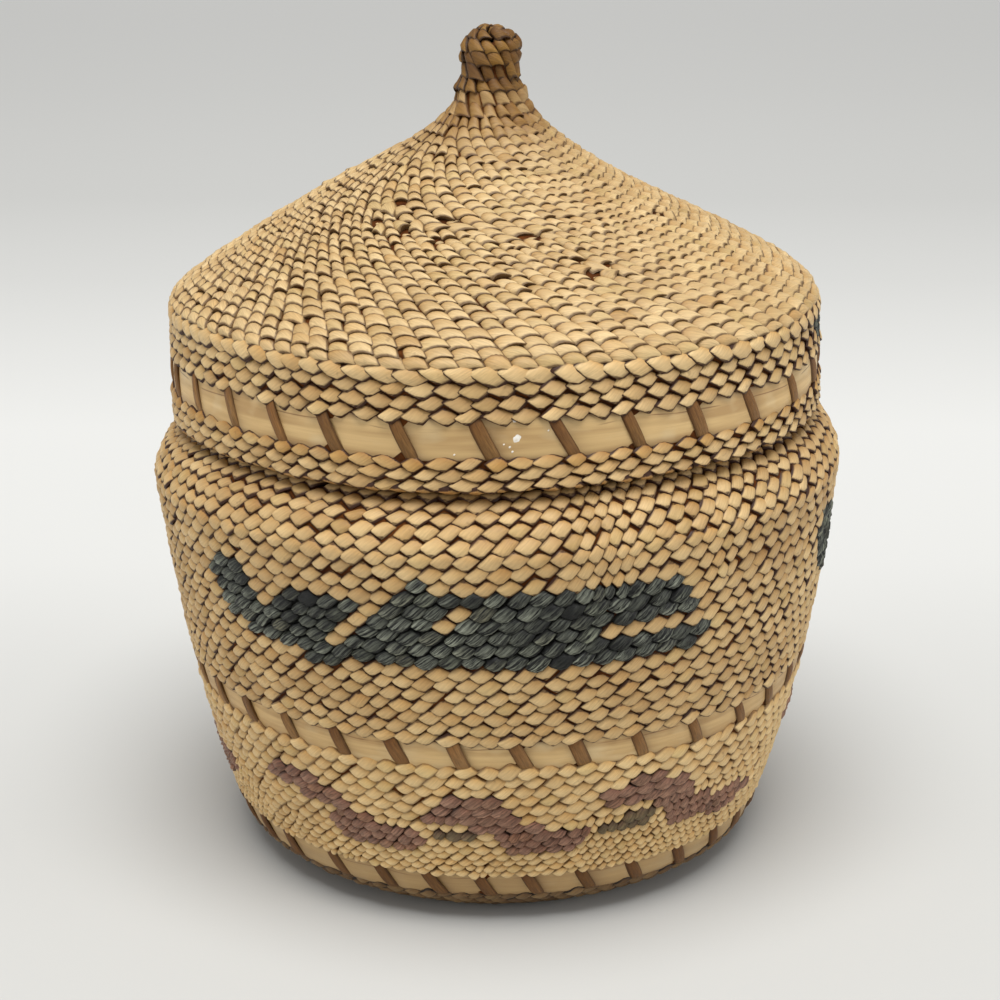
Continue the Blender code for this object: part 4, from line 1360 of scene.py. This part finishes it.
class BASKET_OT_cone(bpy.types.Operator):
    """Weaves the lid's cone, its flare and the knob"""

    bl_idname = "basket.cone"
    bl_label = "Weave the lid's cone"

    def execute(self, context):
        f = form()
        rng = np.random.default_rng(f.seed + 6)

        def count_of(radius, row):
            return int(round(np.interp(radius, CROWN_RADII, CROWN_COLUMNS)))

        flare = CROWN.along_height(FLARE_TOP)
        heights = np.interp(np.linspace(0, 1, KNOB_ROW), CROWN_SHARES, CROWN_HEIGHTS)
        knob_rows = LAST_ROW - KNOB_ROW
        heights = np.append(stretch_heights(heights, flare), np.full(knob_rows, (CROWN.length - flare) / knob_rows))
        first = columns_from(crossing_turns("lid_band", 1))
        shifts = f.lid_shift * np.interp(np.arange(LAST_ROW), (0, 10), (0.6, 1.05))
        spots = woven_rows(CROWN, -0.4, heights, count_of, first, shifts, rng)
        shape_stitches(spots, CROWN_EDGES, rng)
        top = spots["row"] >= KNOT_ROW
        knot = shape_stitches(pick(spots, top), KNOB_EDGES, rng)
        for key in ("e1", "e2"):
            spots[key][top] = knot[key]
        spots["lift"][top] += rng.normal(0, 0.1, top.sum())
        ruffle(spots, CROWN, ROUGH_PLACES)
        darkened = 0.95 * smooth(CROWN.at(spots["along"])[1], BROWN_FROM, BROWN_TO)
        spots["stain"] = np.clip(darkened * rng.uniform(0.5, 1.3, len(darkened)), 0, 1)
        for name, low, high, finish_name, nodes in (
            ("lid_cone_stitches", 0, FLARE_ROW, "Cone straw", ["lid_crown"]),
            ("lid_flare_stitches", FLARE_ROW, KNOB_ROW, "Cone straw", ["lid_crown"]),
            ("knob_stitches", KNOB_ROW, LAST_ROW, "Knob straw", ["finial"]),
        ):
            laid = lay_strands(CROWN, pick(spots, (spots["row"] >= low) & (spots["row"] < high)), BEAD, **ROPE)
            make_piece(name, laid, "lid", finish_name, nodes)
        return {"FINISHED"}


class BASKET_OT_flakes(bpy.types.Operator):
    """Sticks the small pale flakes of dirt on the lid's band"""

    bl_idname = "basket.flakes"
    bl_label = "Stick the pale flakes"

    def execute(self, context):
        rng = np.random.default_rng(form().seed + 12)
        around = FLAKE_ROUND
        turns = even_turns(around)
        i = np.arange(around)
        j = (i + 1) % around
        ring_starts = np.arange(len(FLAKE_RINGS)) * around
        last, hub = ring_starts[-1], np.full(around, ring_starts[-1] + around)
        sides = np.stack([i, j, around + j, around + i], -1)[:, None] + ring_starts[:-1, None]
        top, bottom = np.stack([last + i, last + j, hub], -1), np.stack([j, i, hub + 1], -1)
        caps = np.stack([top, bottom], 1)
        points, quads, ends = [], [], []
        for degrees, height, size in FLAKES:
            start = len(points)
            middle, turn = SKIRT.along_height(height), math.radians(degrees) + FRONT
            uneven = 1 + 0.16 * np.sin(2 * turns + start) + 0.1 * np.sin(5 * turns)
            for share, depth in FLAKE_RINGS:
                radius = size * share * uneven * rng.normal(1, 0.03, around)
                along = middle + radius * np.sin(turns)
                points.extend(SKIRT.place(along, turn + radius * np.cos(turns) / LID_RADIUS, np.full(around, depth)))
            points.extend(SKIRT.place(np.full(2, middle), np.full(2, turn), np.array(FLAKE_HUBS)))
            quads.append(sides.reshape(-1, 4) + start)
            ends.append(caps.reshape(-1, 3) + start)
        laid = {"points": np.array(points), "faces": [np.concatenate(quads), np.concatenate(ends)]}
        make_piece("lid_band_flakes", laid, "lid", "Pale flake", ["lid_band"], sharp=60)
        return {"FINISHED"}


class BASKET_OT_mat(bpy.types.Operator):
    """Gives the plaited bark mat of the base its finish"""

    bl_idname = "basket.mat"
    bl_label = "Finish the mat"

    def execute(self, context):
        for name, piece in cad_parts.items():
            if name.startswith("mat_strip"):
                piece.data.materials.clear()
                piece.data.materials.append(finish("Mat bark"))
        return {"FINISHED"}


# ---- stage

# Lamps: place, size across in metres and how much of their setting's power they have.
LAMPS = (
    ("top lamp", (0.0, -0.28, 1.04), 0.8, "lamp", 1.0),
    ("left lamp", (-0.85, -0.4, 0.26), 0.5, "side_lamp", 1.0),
    ("right lamp", (0.85, -0.3, 0.26), 0.5, "side_lamp", 1.25),
)
FLOOR_WIDTH = 4.0
FLOOR_STEPS = (-0.6, -0.1, 0.0, 0.1, 0.2, 0.3, 0.5, 0.9, 1.5, 2.4)
CAMERA_ASIDE, CAMERA_TILT = 0.0003, 72
SENSOR_WIDTH = 36.0


class BASKET_OT_stage(bpy.types.Operator):
    """Sets the floor, the light and the camera"""

    bl_idname = "basket.stage"
    bl_label = "Set the stage"

    def execute(self, context):
        scene = context.scene
        settings = scene.basket_stage
        mesh = bpy.data.meshes.new("floor")
        points = [(x, y, 0.0) for y in FLOOR_STEPS for x in (-FLOOR_WIDTH / 2, FLOOR_WIDTH / 2)]
        faces = [(2 * k, 2 * k + 1, 2 * k + 3, 2 * k + 2) for k in range(len(FLOOR_STEPS) - 1)]
        mesh.from_pydata(points, [], faces)
        mesh.materials.append(finish("Floor paper"))
        floor = bpy.data.objects.new("floor", mesh)
        scene.collection.objects.link(floor)

        world = bpy.data.worlds.new("Studio")
        world.use_nodes = True
        background = world.node_tree.nodes["Background"]
        background.inputs["Color"].default_value = (1.0, 1.0, 1.0, 1.0)
        background.inputs["Strength"].default_value = settings.sky
        scene.world = world
        for name, spot, size, power, share in LAMPS:
            data = bpy.data.lights.new(name, "AREA")
            data.shape, data.size, data.energy = "DISK", size, getattr(settings, power) * share
            lamp = bpy.data.objects.new(name, data)
            scene.collection.objects.link(lamp)
            lamp.location = spot
            x, y, z = spot
            lamp.rotation_euler = (math.atan2(math.hypot(x, y), z), 0, math.atan2(-y, -x) - math.pi / 2)

        data = bpy.data.cameras.new("camera")
        data.lens, data.sensor_width = settings.lens, SENSOR_WIDTH
        data.clip_start, data.clip_end = 0.01, 20.0
        camera = bpy.data.objects.new("camera", data)
        camera.location = (CAMERA_ASIDE, -settings.camera_back, settings.camera_height)
        camera.rotation_euler = (math.radians(CAMERA_TILT), 0, 0)
        scene.collection.objects.link(camera)
        scene.camera = camera
        scene.view_settings.view_transform = "Standard"
        return {"FINISHED"}


# ---- add-on

OPERATORS = (
    BASKET_OT_cores,
    BASKET_OT_foot,
    BASKET_OT_wall,
    BASKET_OT_linings,
    BASKET_OT_neck,
    BASKET_OT_bands,
    BASKET_OT_crossings,
    BASKET_OT_flakes,
    BASKET_OT_skirt,
    BASKET_OT_cone,
    BASKET_OT_mat,
    BASKET_OT_stage,
)
SETTINGS = {"basket_form": FormSettings, "basket_colours": ColourSettings, "basket_stage": StageSettings}


class BASKET_PT_panel(bpy.types.Panel):
    """Lists the basket's steps in the sidebar"""

    bl_idname = "BASKET_PT_panel"
    bl_label = "Basket"
    bl_space_type = "VIEW_3D"
    bl_region_type = "UI"
    bl_category = "Basket"

    def draw(self, context):
        layout = self.layout
        for name, kind in SETTINGS.items():
            box = layout.box()
            for key in kind.__annotations__:
                box.prop(getattr(context.scene, name), key)
        for operator in OPERATORS:
            layout.operator(operator.bl_idname)


CLASSES = (*SETTINGS.values(), *OPERATORS, BASKET_PT_panel)


def register():
    for made in CLASSES:
        bpy.utils.register_class(made)
    for name, kind in SETTINGS.items():
        setattr(bpy.types.Scene, name, bpy.props.PointerProperty(type=kind))


def unregister():
    for name in SETTINGS:
        delattr(bpy.types.Scene, name)
    for made in reversed(CLASSES):
        bpy.utils.unregister_class(made)


def main():
    register()
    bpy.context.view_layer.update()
    for operator in OPERATORS:
        step = operator.bl_idname.split(".")[1]
        getattr(bpy.ops.basket, step)()


if __name__ == "__main__":
    main()
